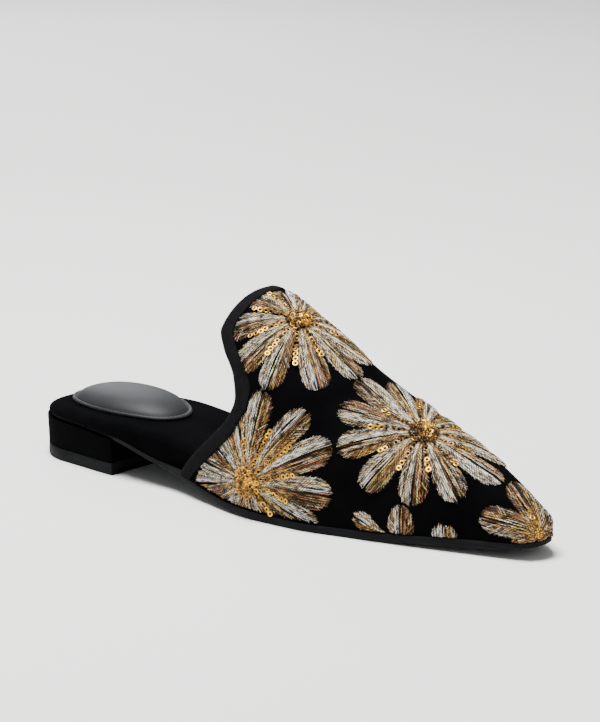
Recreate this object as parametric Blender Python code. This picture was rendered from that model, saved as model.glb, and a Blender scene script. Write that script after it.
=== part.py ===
"""A flat mule with a pointed toe, for a right foot, built as its maker joins it.

The pieces are the outsole, heel block, heel lift, footbed, padded heel pad, hollow upper
and the binding along the upper's topline. X runs from the heel's back to the toe, the
outer side of the foot is at -Y, and Z is up from the floor. Sizes are in millimetres
until a mesh is made.
"""

import bpy
import numpy as np

MM = 0.001
GAP = 0.3                  # clearance between neighbouring pieces

LENGTH = 265.5             # heel's back to the upper's tip
TOE_ROUND = 9.5            # length of the rounded tip
HEEL_ROUND = 24.0          # length of the rounded back
HEEL_SQUARENESS = 2.1      # 2 is a half circle, more is squarer

HEEL_BREAST = 54.8         # x of the heel's flat front
LIFT_HEIGHT = 5.3
LIFT_INSET = 0.8
BLOCK_INSET_LOW = 0.9
BLOCK_INSET_HIGH = 0.4

UPPER_WALL = 2.0
BINDING_WIDTH = 6.5
BINDING_PROUD = 0.5        # how far the binding stands off each face of the upper
SOLE_CHAMFER = 0.5
SOLE_TOP_CHAMFER = 0.2

PAD_CENTRE = (40.3, 1.5)
PAD_LENGTH = 67.0
PAD_WIDTH = 37.4
PAD_TURN = -8.0            # degrees in plan: its front end points a little to the outer side
PAD_SQUARENESS = 2.15      # 2 is an ellipse

SOLE_STATIONS = 58
HEEL_STATIONS = 18
EDGE_TURNS = (0.0, 30.0, 60.0, 90.0)   # degrees round the footbed's top edge
UPPER_ROWS = 37
UPPER_COLUMNS = 40
PAD_POINTS = 56
SHARP_ANGLE = 35.0         # degrees between faces that are shaded as an edge


def table(names, *rows):
    """A design table: one array for each named column."""
    return dict(zip(names.split(), np.array(rows, dtype=float).T))


# Half-widths of the whole shoe at its feather line, where upper meets sole
PLAN = table("x outer inner",
             (0.0, 23.3, 23.0),
             (28.0, 25.2, 25.0),
             (55.0, 27.3, 26.5),
             (85.0, 26.2, 25.0),
             (112.0, 31.0, 26.0),
             (140.0, 36.0, 30.5),
             (165.0, 35.0, 35.0),
             (190.0, 29.5, 36.5),
             (215.0, 23.0, 31.3),
             (240.0, 15.4, 21.4),
             (259.0, 9.6, 12.0))

# Underside of the outsole above the floor, flat under the ball of the foot
UNDERSIDE = table("x z",
                  (0.0, 18.2), (55.0, 16.2), (78.0, 10.7), (104.0, 5.6), (130.0, 1.3),
                  (150.0, 0.0), (185.0, 0.0), (225.0, 1.7), (250.0, 3.3), (265.5, 5.2))

OUTSOLE = table("x thick proud",
                (0.0, 1.5, -0.7), (50.0, 1.5, -0.7), (60.0, 1.6, 0.2), (92.0, 1.8, 0.9),
                (108.0, 2.0, 0.9), (140.0, 3.4, 0.6), (240.0, 3.4, 0.6), (254.0, 2.7, 0.5),
                (265.5, 2.0, -0.8))

# Footbed: its top above the floor, how far its edge is inside the feather line, and how
# deep and how wide its wrapped top edge is rounded
FOOTBED = table("x top inset deep wide",
                (0.0, 21.9, 1.2, 1.8, 5.6),
                (28.0, 23.3, 0.7, 3.2, 5.8),
                (55.0, 23.9, 0.0, 3.2, 5.1),
                (80.0, 22.4, 0.0, 3.0, 4.8),
                (97.0, 19.8, 2.9, 2.6, 4.2),
                (112.0, 16.8, 2.9, 2.2, 3.5),
                (135.0, 10.8, 2.9, 1.4, 2.2),
                (155.0, 7.2, 2.9, 1.2, 1.9),
                (185.0, 6.7, 3.0, 1.2, 1.9),
                (235.0, 8.6, 3.4, 1.2, 1.9),
                (250.0, 9.4, 4.2, 1.2, 1.9),
                (265.5, 10.4, 9.0, 1.2, 1.9))

# The ridge line of the upper over the instep and toes: height, and place across the foot
RIDGE = table("x z y",
              (92.0, 82.3, 10.0), (115.0, 84.6, 10.0), (140.0, 74.9, 8.8), (170.0, 58.2, 7.0),
              (200.0, 44.4, 6.2), (230.0, 32.4, 6.0), (250.0, 22.8, 5.6), (265.5, 14.6, 5.0))

# Fullness of the cross-section: 2 is half an ellipse, more is boxier
FULLNESS = table("x power", (100.0, 2.4), (150.0, 2.08), (200.0, 2.14), (265.5, 2.2))

# The topline: x against the share of the way round, 0 at the sole and 0.5 on the ridge
TOPLINE = table("share x",
                (0.0, 96.5), (0.05, 109.0), (0.09, 118.2), (0.13, 125.2), (0.17, 127.9),
                (0.21, 124.2), (0.25, 114.8), (0.30, 109.0), (0.40, 110.2), (0.50, 112.2))

# Pad rings from the base outwards in: share of the half-axes, and height
PAD_RINGS = table("share height",
                  (0.985, 0.0), (1.0, 0.5), (0.985, 1.2), (0.93, 1.35), (0.905, 0.9),
                  (0.875, 2.4), (0.80, 4.0), (0.62, 5.7), (0.36, 6.8), (0.14, 7.1))

# Binding profile: share of its width from the topline, and share of its thickness inwards
BINDING_PROFILE = table("along depth",
                        (1.0, 0.0), (0.5, -0.04), (0.12, 0.0), (-0.03, 0.22), (-0.06, 0.5),
                        (-0.03, 0.78), (0.12, 1.0), (0.5, 1.04), (1.0, 1.0))


def smooth(x, rows, column, key="x"):
    """Monotone cubic through a table's rows, after Fritsch and Carlson."""
    xs, ys = rows[key], rows[column]
    x = np.clip(np.asarray(x, dtype=float), xs[0], xs[-1])
    step = np.diff(xs)
    slope = np.diff(ys) / step
    left, right = slope[:-1], slope[1:]
    weight_left = 2.0 * step[1:] + step[:-1]
    weight_right = step[1:] + 2.0 * step[:-1]
    same_way = left * right > 0.0
    safe_left = np.where(same_way, left, 1.0)
    safe_right = np.where(same_way, right, 1.0)
    inner = (weight_left + weight_right) / (weight_left / safe_left + weight_right / safe_right)
    tangent = np.zeros_like(xs)
    tangent[1:-1] = np.where(same_way, inner, 0.0)
    tangent[0] = 1.5 * slope[0] - 0.5 * tangent[1]
    tangent[-1] = 1.5 * slope[-1] - 0.5 * tangent[-2]
    i = np.clip(np.searchsorted(xs, x) - 1, 0, len(step) - 1)
    t = (x - xs[i]) / step[i]
    return ((2 * t**3 - 3 * t**2 + 1) * ys[i] + (t**3 - 2 * t**2 + t) * step[i] * tangent[i]
            + (3 * t**2 - 2 * t**3) * ys[i + 1] + (t**3 - t**2) * step[i] * tangent[i + 1])


def tip_factor(x):
    """Quarter ellipse that closes width and height at the toe's tip."""
    run = np.clip((x - (LENGTH - TOE_ROUND)) / TOE_ROUND, 0.0, 1.0)
    return np.sqrt(1.0 - run**2)


def heel_factor(x):
    """Squarish arc that closes the width at the heel's back."""
    run = np.clip((HEEL_ROUND - x) / HEEL_ROUND, 0.0, 1.0)
    return (1.0 - run**HEEL_SQUARENESS) ** (1.0 / HEEL_SQUARENESS)


def plan_edges(x):
    """Y of the feather line on the outer and the inner side."""
    outer = smooth(x, PLAN, "outer")
    inner = smooth(x, PLAN, "inner")
    middle = 0.5 * (inner - outer)
    half = 0.5 * (inner + outer) * tip_factor(x) * heel_factor(x)
    return middle - half, middle + half


def underside(x):
    return smooth(x, UNDERSIDE, "z")


def outsole_top(x):
    return underside(x) + smooth(x, OUTSOLE, "thick")


def outline(x, inset):
    """Closed plan loop: back, outer side, front, inner side, moved in by an inset for each x."""
    y_outer, y_inner = plan_edges(x)
    loop = np.concatenate([np.stack([x, y_outer], 1), np.stack([x, y_inner], 1)[-2:0:-1]])
    ahead = np.roll(loop, -1, axis=0) - np.roll(loop, 1, axis=0)
    normal = np.stack([-ahead[:, 1], ahead[:, 0]], 1)
    normal /= np.linalg.norm(normal, axis=1, keepdims=True)
    amount = np.concatenate([inset, inset[-2:0:-1]])
    return loop + normal * amount[:, None]


def heel_outline(x, inset):
    """Plan loop of the heel, rounded at the back and cut flat at the breast.

    The loop is worked out a little past the breast, so that the inset doesn't round it off.
    """
    far = x[-1]
    run_on = 2.0
    beyond = np.append(x, far + run_on)
    loop = outline(beyond, np.full(len(beyond), inset))
    count = len(x)
    outer = loop[:count]
    inner = loop[count + 1:]
    outer[-1] = (far, outer[-1][1])
    inner[0] = (far, inner[0][1])
    return np.concatenate([outer, inner])


def cap_faces(count, first, pairs, upward):
    """Faces across a loop, joining each point of the outer side to its pair on the inner side."""
    faces = []
    for k in range(pairs):
        a, b = first + k, first + k + 1
        c, d = first + (count - k - 1) % count, first + (count - k) % count
        face = [a, b, c] if d == a else ([a, b, d] if b == c else [a, b, c, d])
        faces.append(face if upward else face[::-1])
    return faces


def stack(rings, pairs):
    """Closed solid from loops of equal length, listed from the bottom up."""
    count = len(rings[0])
    faces = cap_faces(count, 0, pairs, False)
    for level in range(len(rings) - 1):
        low, high = level * count, (level + 1) * count
        for k in range(count):
            n = (k + 1) % count
            faces.append([low + k, low + n, high + n, high + k])
    faces += cap_faces(count, (len(rings) - 1) * count, pairs, True)
    return np.concatenate(rings), faces


def at_height(loop, height):
    """Lift a plan loop to a height, given as a function of x."""
    return np.column_stack([loop, height(loop[:, 0])])


def stations(first, last, count):
    """Places along the shoe, closer together towards both ends."""
    turn = np.linspace(0.0, np.pi, count)
    return first + (last - first) * 0.5 * (1.0 - np.cos(turn))


def outsole():
    """The long sole under everything, chamfered along both edges."""
    x = stations(0.0, LENGTH, SOLE_STATIONS)
    proud = -smooth(x, OUTSOLE, "proud")
    edge = outline(x, proud)
    within = outline(x, proud + SOLE_CHAMFER)
    rings = [at_height(within, underside),
             at_height(edge, lambda x: underside(x) + SOLE_CHAMFER),
             at_height(edge, lambda x: outsole_top(x) - SOLE_TOP_CHAMFER),
             at_height(within, outsole_top)]
    return stack(rings, SOLE_STATIONS - 1)


def footbed_edge(x, share):
    """Height of the footbed's top, less a share of the depth of its rounded edge."""
    return smooth(x, FOOTBED, "top") - share * smooth(x, FOOTBED, "deep")


def footbed():
    """Wrapped footbed: a thick wall at heel and waist, a thin board inside the upper."""
    x = stations(0.0, LENGTH, SOLE_STATIONS)
    inset = smooth(x, FOOTBED, "inset")
    wide = smooth(x, FOOTBED, "wide")
    rings = [at_height(outline(x, inset), lambda x: outsole_top(x) + GAP)]
    for turn in np.radians(EDGE_TURNS):
        loop = outline(x, inset + wide * (1.0 - np.cos(turn)))
        rings.append(at_height(loop, lambda x: footbed_edge(x, 1.0 - np.sin(turn))))
    return stack(rings, SOLE_STATIONS - 1)


def heel_stack(base, top, inset_low, inset_high):
    """Solid with the heel's outline between two heights, closer stations at the round back."""
    x = HEEL_BREAST * (1.0 - np.cos(np.linspace(0.0, 0.5 * np.pi, HEEL_STATIONS)))
    rings = [at_height(heel_outline(x, inset_low), base),
             at_height(heel_outline(x, inset_high), top)]
    return stack(rings, len(x) - 1)


def heel_block():
    """Wrapped heel between the lift and the outsole, with a flat breast."""
    return heel_stack(lambda x: np.full_like(x, LIFT_HEIGHT + GAP),
                      lambda x: underside(x) - GAP, BLOCK_INSET_LOW, BLOCK_INSET_HIGH)


def heel_lift():
    """Rubber top piece that the heel stands on."""
    return heel_stack(lambda x: np.zeros_like(x),
                      lambda x: np.full_like(x, LIFT_HEIGHT), LIFT_INSET, LIFT_INSET)


def heel_pad():
    """Padded oval on the footbed: a flat stitched rim round a crowned middle."""
    turn = np.linspace(0.0, 2.0 * np.pi, PAD_POINTS, endpoint=False)
    power = 2.0 / PAD_SQUARENESS
    ahead = 0.5 * PAD_LENGTH * np.sign(np.cos(turn)) * np.abs(np.cos(turn)) ** power
    aside = 0.5 * PAD_WIDTH * np.sign(np.sin(turn)) * np.abs(np.sin(turn)) ** power
    cosine, sine = np.cos(np.radians(PAD_TURN)), np.sin(np.radians(PAD_TURN))
    rings = []
    for share, height in zip(PAD_RINGS["share"], PAD_RINGS["height"]):
        x = PAD_CENTRE[0] + share * (ahead * cosine - aside * sine)
        y = PAD_CENTRE[1] + share * (ahead * sine + aside * cosine)
        rings.append(np.column_stack([x, y, smooth(x, FOOTBED, "top") + GAP + height]))
    return stack(rings, PAD_POINTS // 2)


def last_point(x, share):
    """Point of the upper's outer face: a superellipse section over the ridge line.

    Share 0 is the outer feather line, 0.5 the ridge and 1 the inner feather line.
    """
    y_outer, y_inner = plan_edges(x)
    base = outsole_top(x) + GAP
    rise = (smooth(x, RIDGE, "z") - base) * tip_factor(x)
    centre = 0.5 * (y_outer + y_inner)
    middle = centre + (smooth(x, RIDGE, "y") - centre) * tip_factor(x)
    power = 2.0 / smooth(x, FULLNESS, "power")
    angle = np.pi * share
    cosine, sine = np.cos(angle), np.abs(np.sin(angle))
    reach = np.where(cosine > 0.0, middle - y_outer, y_inner - middle)
    y = middle - np.sign(cosine) * reach * np.abs(cosine) ** power
    return np.stack([x, y, base + rise * sine**power], axis=-1)


def last_normal(x, share):
    """Unit normal of the outer face, pointing out of the shoe, by central differences."""
    small_x, small_share = 0.05, 0.0005
    x = np.minimum(x, LENGTH - small_x)
    share_low = np.clip(share - small_share, 0.0, 1.0)
    share_high = np.clip(share + small_share, 0.0, 1.0)
    along = last_point(x + small_x, share) - last_point(x - small_x, share)
    round_ = last_point(x, share_high) - last_point(x, share_low)
    normal = np.cross(along, round_)
    at_feather = (share <= 0.0) | (share >= 1.0)
    normal[..., 2] = np.where(at_feather, 0.0, normal[..., 2])
    return normal / np.linalg.norm(normal, axis=-1, keepdims=True)


def from_topline(distance, share):
    """X of the line that lies a distance inside the topline, measured on the surface."""
    edge_x = smooth(np.minimum(share, 1.0 - share), TOPLINE, "x", "share")
    line = last_point(edge_x, share)
    run = np.gradient(line, axis=0)
    run /= np.linalg.norm(run, axis=1, keepdims=True)
    half_step = 0.5
    forward = last_point(edge_x + half_step, share) - last_point(edge_x - half_step, share)
    square = np.linalg.norm(np.cross(forward, run), axis=1)
    return edge_x + distance / square


def shares():
    """Places round the section from the outer feather line to the inner one."""
    return np.linspace(0.0, 1.0, UPPER_COLUMNS + 1)


def grid_faces(rows, columns, first=0):
    """Four-sided faces over a grid of points stored row by row."""
    faces = []
    for i in range(rows - 1):
        for j in range(columns - 1):
            a = first + i * columns + j
            faces.append([a, a + 1, a + columns + 1, a + columns])
    return faces


def upper():
    """Hollow upper: the outer face, the same face moved in by the wall, and the rim between."""
    share = shares()
    edge = from_topline(BINDING_WIDTH + GAP, share)
    run = np.linspace(0.0, 1.0, UPPER_ROWS)[1:, None]
    x = LENGTH - (LENGTH - edge[None, :]) * run**2
    spread = np.broadcast_to(share, x.shape)
    outer = last_point(x, spread)
    inner = outer - UPPER_WALL * last_normal(x, spread)
    tip = np.array([LENGTH, plan_edges(LENGTH)[0], outsole_top(LENGTH) + GAP])
    rows, columns = x.shape
    size = rows * columns
    points = np.concatenate([outer.reshape(-1, 3), inner.reshape(-1, 3),
                             [tip, tip - (UPPER_WALL, 0.0, 0.0)]])
    outer_tip, inner_tip = 2 * size, 2 * size + 1
    faces = grid_faces(rows, columns)
    faces += [face[::-1] for face in grid_faces(rows, columns, size)]
    for j in range(columns - 1):
        faces.append([outer_tip, j + 1, j])
        faces.append([inner_tip, size + j, size + j + 1])
        last = (rows - 1) * columns + j
        faces.append([last, last + 1, size + last + 1, size + last])
    for i in range(rows - 1):
        a, b = i * columns, (i + 1) * columns
        faces.append([a, b, size + b, size + a])
        c, d = a + columns - 1, b + columns - 1
        faces.append([d, c, size + c, size + d])
    faces.append([outer_tip, 0, size, inner_tip])
    faces.append([columns - 1, outer_tip, inner_tip, size + columns - 1])
    return points, faces


def topline_binding():
    """Folded tape round the topline, thicker than the wall by a step on both faces."""
    share = shares()
    thickness = UPPER_WALL + 2.0 * BINDING_PROUD
    loops = []
    for along, depth in zip(BINDING_PROFILE["along"], BINDING_PROFILE["depth"]):
        x = from_topline(BINDING_WIDTH * along, share)
        offset = BINDING_PROUD - thickness * depth
        loops.append(last_point(x, share) + offset * last_normal(x, share))
    points = np.stack(loops)
    count, columns = points.shape[:2]
    faces = []
    for i in range(count):
        n = (i + 1) % count
        for j in range(columns - 1):
            faces.append([i * columns + j, i * columns + j + 1, n * columns + j + 1,
                          n * columns + j])
    faces.append([i * columns for i in range(count)])
    faces.append([i * columns + columns - 1 for i in range(count)][::-1])
    return points.reshape(-1, 3), faces


def material(name, colour, roughness):
    made = bpy.data.materials.new(name)
    made.use_nodes = True
    shader = made.node_tree.nodes["Principled BSDF"]
    shader.inputs["Base Color"].default_value = (*colour, 1.0)
    shader.inputs["Roughness"].default_value = roughness
    shader.inputs["Metallic"].default_value = 0.0
    return made


def add_object(name, solid, colour, roughness, parent):
    """Make one named object from points in millimetres and faces."""
    points, faces = solid
    mesh = bpy.data.meshes.new(name)
    mesh.from_pydata((points * MM).tolist(), [], faces)
    mesh.update()
    mesh.shade_smooth()
    mesh.set_sharp_from_angle(angle=np.radians(SHARP_ANGLE))
    mesh.materials.append(material(name, colour, roughness))
    made = bpy.data.objects.new(name, mesh)
    made.parent = parent
    bpy.context.scene.collection.objects.link(made)
    return made


def clear_scene():
    for old in list(bpy.data.objects):
        bpy.data.objects.remove(old, do_unlink=True)


def main():
    clear_scene()
    # Each row: the piece's name, its solid, its colour and its roughness
    pieces = (("outsole", outsole(), (0.026, 0.026, 0.028), 0.55),
              ("heel_block", heel_block(), (0.004, 0.004, 0.005), 0.9),
              ("heel_lift", heel_lift(), (0.026, 0.026, 0.028), 0.6),
              ("footbed", footbed(), (0.003, 0.003, 0.004), 0.95),
              ("heel_pad", heel_pad(), (0.02, 0.02, 0.022), 0.45),
              ("upper", upper(), (0.003, 0.003, 0.004), 0.95),
              ("topline_binding", topline_binding(), (0.012, 0.012, 0.014), 0.8))
    everything = np.concatenate([solid[0] for _, solid, _, _ in pieces])
    middle = 0.5 * (everything.min(axis=0) + everything.max(axis=0))
    shoe = bpy.data.objects.new("shoe", None)
    shoe.location = (-middle[0] * MM, -middle[1] * MM, 0.0)
    bpy.context.scene.collection.objects.link(shoe)
    for name, solid, colour, roughness in pieces:
        add_object(name, solid, colour, roughness, shoe)


main()
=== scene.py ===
# %% [markdown]
# # A pointed velvet mule with embroidered flowers
# The shoe is built from a few surfaces. Every one is a formula on a grid of two parameters,
# worked out with numpy as whole arrays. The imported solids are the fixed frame: each surface
# here follows the same last, so it lies where its solid lies, only finer.

# %% Load the frame
import bpy
import numpy as np
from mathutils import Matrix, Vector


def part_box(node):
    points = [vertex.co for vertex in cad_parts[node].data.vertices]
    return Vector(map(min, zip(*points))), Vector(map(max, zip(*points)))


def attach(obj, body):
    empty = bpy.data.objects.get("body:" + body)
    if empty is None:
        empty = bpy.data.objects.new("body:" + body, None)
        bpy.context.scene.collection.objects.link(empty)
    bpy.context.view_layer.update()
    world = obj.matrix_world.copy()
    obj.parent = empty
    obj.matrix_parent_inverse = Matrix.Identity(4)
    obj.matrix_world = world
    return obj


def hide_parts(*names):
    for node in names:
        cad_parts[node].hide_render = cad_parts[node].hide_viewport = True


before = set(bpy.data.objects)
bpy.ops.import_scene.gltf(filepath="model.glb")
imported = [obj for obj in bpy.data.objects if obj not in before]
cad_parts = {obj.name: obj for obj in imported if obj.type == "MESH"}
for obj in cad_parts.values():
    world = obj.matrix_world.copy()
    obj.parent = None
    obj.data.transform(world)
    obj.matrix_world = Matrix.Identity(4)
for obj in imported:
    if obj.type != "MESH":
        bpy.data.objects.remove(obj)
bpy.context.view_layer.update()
MM = 0.001
print("solids:", sorted(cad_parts))

# %% [markdown]
# ## The last's own sizes
# A shoemaker draws a last from a plan, a side view and a few cross-sections. The tables below
# are those drawings in millimetres, with X from the heel's back to the toe, the foot's outer
# side at -Y and Z up from the floor. They are the same sizes that the solids were made from.

# %% Sizes and design tables
LENGTH = 265.5
TOE_ROUND = 9.5
HEEL_ROUND = 24.0
HEEL_SQUARENESS = 2.1
HEEL_BREAST = 54.8
LIFT_HEIGHT = 5.3
LIFT_INSET = 0.8
BLOCK_INSET_LOW = 0.9
BLOCK_INSET_HIGH = 0.4
GAP = 0.3
WALL = 2.0
BINDING_WIDTH = 6.5
PAD_CENTRE = (40.3, 1.5)
PAD_LENGTH = 67.0
PAD_WIDTH = 37.4
PAD_TURN = -8.0
PAD_SQUARENESS = 2.15


def table(names, *rows):
    """A design table: one array for each named column."""
    return dict(zip(names.split(), np.array(rows, dtype=float).T))


PLAN = table("x outer inner",
             (0.0, 23.3, 23.0), (28.0, 25.2, 25.0), (55.0, 27.3, 26.5), (85.0, 26.2, 25.0),
             (112.0, 31.0, 26.0), (140.0, 36.0, 30.5), (165.0, 35.0, 35.0), (190.0, 29.5, 36.5),
             (215.0, 23.0, 31.3), (240.0, 15.4, 21.4), (259.0, 9.6, 12.0))
UNDERSIDE = table("x z",
                  (0.0, 18.2), (55.0, 16.2), (78.0, 10.7), (104.0, 5.6), (130.0, 1.3),
                  (150.0, 0.0), (185.0, 0.0), (225.0, 1.7), (250.0, 3.3), (265.5, 5.2))
OUTSOLE = table("x thick proud",
                (0.0, 1.5, -2.0), (50.0, 1.5, -1.6), (60.0, 1.6, 0.2), (92.0, 1.8, 0.9),
                (108.0, 2.0, 0.9), (140.0, 3.4, 0.6), (240.0, 3.4, 0.6), (254.0, 2.7, 0.5),
                (265.5, 2.0, -0.8))
FOOTBED = table("x top inset deep wide",
                (0.0, 21.9, 1.2, 1.8, 5.6), (28.0, 23.3, 0.7, 3.2, 5.8),
                (55.0, 23.9, 0.0, 3.2, 5.1), (80.0, 22.4, 0.0, 3.0, 4.8),
                (97.0, 19.8, 2.9, 2.6, 4.2), (112.0, 16.8, 2.9, 2.2, 3.5),
                (135.0, 10.8, 2.9, 1.4, 2.2), (155.0, 7.2, 2.9, 1.2, 1.9),
                (185.0, 6.7, 3.0, 1.2, 1.9), (235.0, 8.6, 3.4, 1.2, 1.9),
                (250.0, 9.4, 4.2, 1.2, 1.9), (265.5, 10.4, 9.0, 1.2, 1.9))
RIDGE = table("x z y",
              (92.0, 82.3, 10.0), (115.0, 84.6, 10.0), (140.0, 74.9, 8.8), (170.0, 58.2, 7.0),
              (200.0, 44.4, 6.2), (230.0, 32.4, 6.0), (250.0, 22.8, 5.6), (265.5, 14.6, 5.0))
FULLNESS = table("x power", (100.0, 2.4), (150.0, 2.08), (200.0, 2.14), (265.5, 2.2))
TOPLINE = table("share x",
                (0.0, 96.5), (0.05, 109.0), (0.09, 118.2), (0.13, 125.2), (0.17, 127.9),
                (0.21, 124.2), (0.25, 114.8), (0.30, 109.0), (0.40, 110.2), (0.50, 112.2))
print("design tables:", len(PLAN["x"]), "plan rows,", len(TOPLINE["x"]), "topline rows")

# %% [markdown]
# ## Curves from the tables
# A spline through few points can overshoot. A monotone cubic doesn't: its slope at each point
# is a weighted harmonic mean of the slopes beside it, and is zero where they change sign.


# %% Curves, plan and sections
def smooth(x, rows, column, key="x"):
    """Monotone cubic through a table's rows: Hermite pieces with harmonic-mean slopes."""
    xs, ys = rows[key], rows[column]
    x = np.clip(np.asarray(x, dtype=float), xs[0], xs[-1])
    step = np.diff(xs)
    slope = np.diff(ys) / step
    left, right = slope[:-1], slope[1:]
    weight_left = 2.0 * step[1:] + step[:-1]
    weight_right = step[1:] + 2.0 * step[:-1]
    same_way = left * right > 0.0
    safe_left = np.where(same_way, left, 1.0)
    safe_right = np.where(same_way, right, 1.0)
    inner = (weight_left + weight_right) / (weight_left / safe_left + weight_right / safe_right)
    tangent = np.zeros_like(xs)
    tangent[1:-1] = np.where(same_way, inner, 0.0)
    tangent[0] = 1.5 * slope[0] - 0.5 * tangent[1]
    tangent[-1] = 1.5 * slope[-1] - 0.5 * tangent[-2]
    i = np.clip(np.searchsorted(xs, x) - 1, 0, len(step) - 1)
    t = (x - xs[i]) / step[i]
    return ((2 * t**3 - 3 * t**2 + 1) * ys[i] + (t**3 - 2 * t**2 + t) * step[i] * tangent[i]
            + (3 * t**2 - 2 * t**3) * ys[i + 1] + (t**3 - t**2) * step[i] * tangent[i + 1])


def ease(t):
    """Smooth step from 0 to 1: 3t² - 2t³."""
    t = np.clip(t, 0.0, 1.0)
    return t * t * (3.0 - 2.0 * t)


def unit(v):
    return v / np.maximum(np.linalg.norm(v, axis=-1, keepdims=True), 1e-9)


def dot(a, b):
    return np.sum(a * b, axis=-1)


def tip_factor(x):
    """Quarter ellipse over the last TOE_ROUND millimetres."""
    run = np.clip((x - (LENGTH - TOE_ROUND)) / TOE_ROUND, 0.0, 1.0)
    return np.sqrt(1.0 - run**2)


def heel_factor(x):
    """Squarish arc over the first HEEL_ROUND millimetres."""
    run = np.clip((HEEL_ROUND - x) / HEEL_ROUND, 0.0, 1.0)
    return (1.0 - run**HEEL_SQUARENESS) ** (1.0 / HEEL_SQUARENESS)


def plan_edges(x):
    """Y of the feather line, where upper meets sole: the plan's middle minus and plus its half."""
    outer = smooth(x, PLAN, "outer")
    inner = smooth(x, PLAN, "inner")
    middle = 0.5 * (inner - outer)
    half = 0.5 * (inner + outer) * tip_factor(x) * heel_factor(x)
    return middle - half, middle + half


def outsole_top(x):
    return smooth(x, UNDERSIDE, "z") + smooth(x, OUTSOLE, "thick")


def last_point(x, share):
    """Outer face of the upper: at each x, a superellipse from feather line to feather line.

    Share 0 is the outer feather line, 0.5 the ridge and 1 the inner feather line, and the
    point is (middle - cos|cos|^(p-1) times reach, base + sin^p times rise), p = 2 / fullness.
    """
    y_outer, y_inner = plan_edges(x)
    base = outsole_top(x) + GAP
    rise = (smooth(x, RIDGE, "z") - base) * tip_factor(x)
    centre = 0.5 * (y_outer + y_inner)
    middle = centre + (smooth(x, RIDGE, "y") - centre) * tip_factor(x)
    power = 2.0 / smooth(x, FULLNESS, "power")
    cosine, sine = np.cos(np.pi * share), np.abs(np.sin(np.pi * share))
    reach = np.where(cosine > 0.0, middle - y_outer, y_inner - middle)
    y = middle - np.sign(cosine) * reach * np.abs(cosine) ** power
    return np.stack([x, y, base + rise * sine**power], axis=-1)


def slopes(x, share):
    """Tangents of the last along x and round the section, by central differences."""
    step_x, step_share = 0.05, 0.0005
    x = np.minimum(x, LENGTH - step_x)
    low = np.clip(share - step_share, 0.0, 1.0)
    high = np.clip(share + step_share, 0.0, 1.0)
    along = (last_point(x + step_x, share) - last_point(x - step_x, share)) / (2.0 * step_x)
    round_ = (last_point(x, high) - last_point(x, low)) / (high - low)[..., None]
    return along, round_


def last_normal(x, share):
    """Unit normal out of the shoe: along times round, laid flat at the two feather lines."""
    along, round_ = slopes(x, share)
    normal = np.cross(along, round_)
    at_feather = (share <= 0.0) | (share >= 1.0)
    normal[..., 2] = np.where(at_feather, 0.0, normal[..., 2])
    return unit(normal)


FINE_SHARES = np.linspace(0.0, 1.0, 2401)
TAPE_STIFFNESS = 0.012     # share over which a tape's inner edge rounds off a corner


def from_topline(distance, share):
    """X of the line a distance inside the topline, measured on the surface.

    The distance is divided by the sine between the topline and the x lines, then averaged
    with a bell curve along the topline, as a stiff tape takes no sharp corner.
    """
    edge_x = smooth(np.minimum(FINE_SHARES, 1.0 - FINE_SHARES), TOPLINE, "x", "share")
    run = unit(np.gradient(last_point(edge_x, FINE_SHARES), axis=0))
    half_step = 0.5
    forward = (last_point(edge_x + half_step, FINE_SHARES)
               - last_point(edge_x - half_step, FINE_SHARES))
    shift = distance / np.linalg.norm(np.cross(forward, run), axis=1)
    reach = round(3.0 * TAPE_STIFFNESS * (len(FINE_SHARES) - 1))
    bell = np.exp(-0.5 * (3.0 * np.arange(-reach, reach + 1) / reach) ** 2)
    rounded = np.convolve(np.pad(shift, reach, mode="edge"), bell / bell.sum(), mode="valid")
    return np.interp(share, FINE_SHARES, edge_x + rounded)


sole_x = np.linspace(0.0, LENGTH, 2001)
sole_proud = smooth(sole_x, OUTSOLE, "proud")
sole_y = np.stack(plan_edges(sole_x)) + np.stack([-sole_proud, sole_proud])
ORIGIN = np.array([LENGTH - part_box("upper")[1][0] / MM, 0.5 * (sole_y.min() + sole_y.max()), 0.0])
print("the frame's origin in the last's sizes, mm:", np.round(ORIGIN, 2))

# %% [markdown]
# ## Meshes and materials in general
# A grid of points becomes faces by index arithmetic. Points go into the mesh already in the
# frame's metres, so every object stays at the origin, untouched.


# %% Mesh helpers
def grid_quads(rows, columns, close_rows=False, close_columns=False):
    """Corner indices of the quads over a grid: (i, j), (i, j+1), (i+1, j+1), (i+1, j)."""
    i = np.arange(rows if close_rows else rows - 1)[:, None]
    j = np.arange(columns if close_columns else columns - 1)[None, :]
    i2, j2 = (i + 1) % rows, (j + 1) % columns
    quads = [i * columns + j, i * columns + j2, i2 * columns + j2, i2 * columns + j]
    return np.stack(np.broadcast_arrays(*quads), axis=-1).reshape(-1, 4)


def tubes(centre, normal, width):
    """Closed three-sided tubes: one corner up along the normal, two down at the sides."""
    ahead = unit(np.gradient(centre, axis=1))
    side = unit(np.cross(normal, ahead))
    half = 0.5 * width[..., None]
    corners = np.stack([centre + 0.8 * half * normal, centre + half * side - 0.4 * half * normal,
                        centre - half * side - 0.4 * half * normal], axis=2)
    count, samples = centre.shape[:2]
    one = grid_quads(samples, 3, close_columns=True)
    starts = (np.arange(count) * samples * 3)[:, None, None]
    quads = (one[None] + starts).reshape(-1, 4)
    first = (np.array([[0, 1, 2]]) + starts[:, :, 0]).reshape(-1, 3)
    last = (np.array([[2, 1, 0]]) + starts[:, :, 0] + (samples - 1) * 3).reshape(-1, 3)
    return corners, quads, first, last


def to_frame(points):
    return (points.reshape(-1, 3) - ORIGIN) * MM


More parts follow.
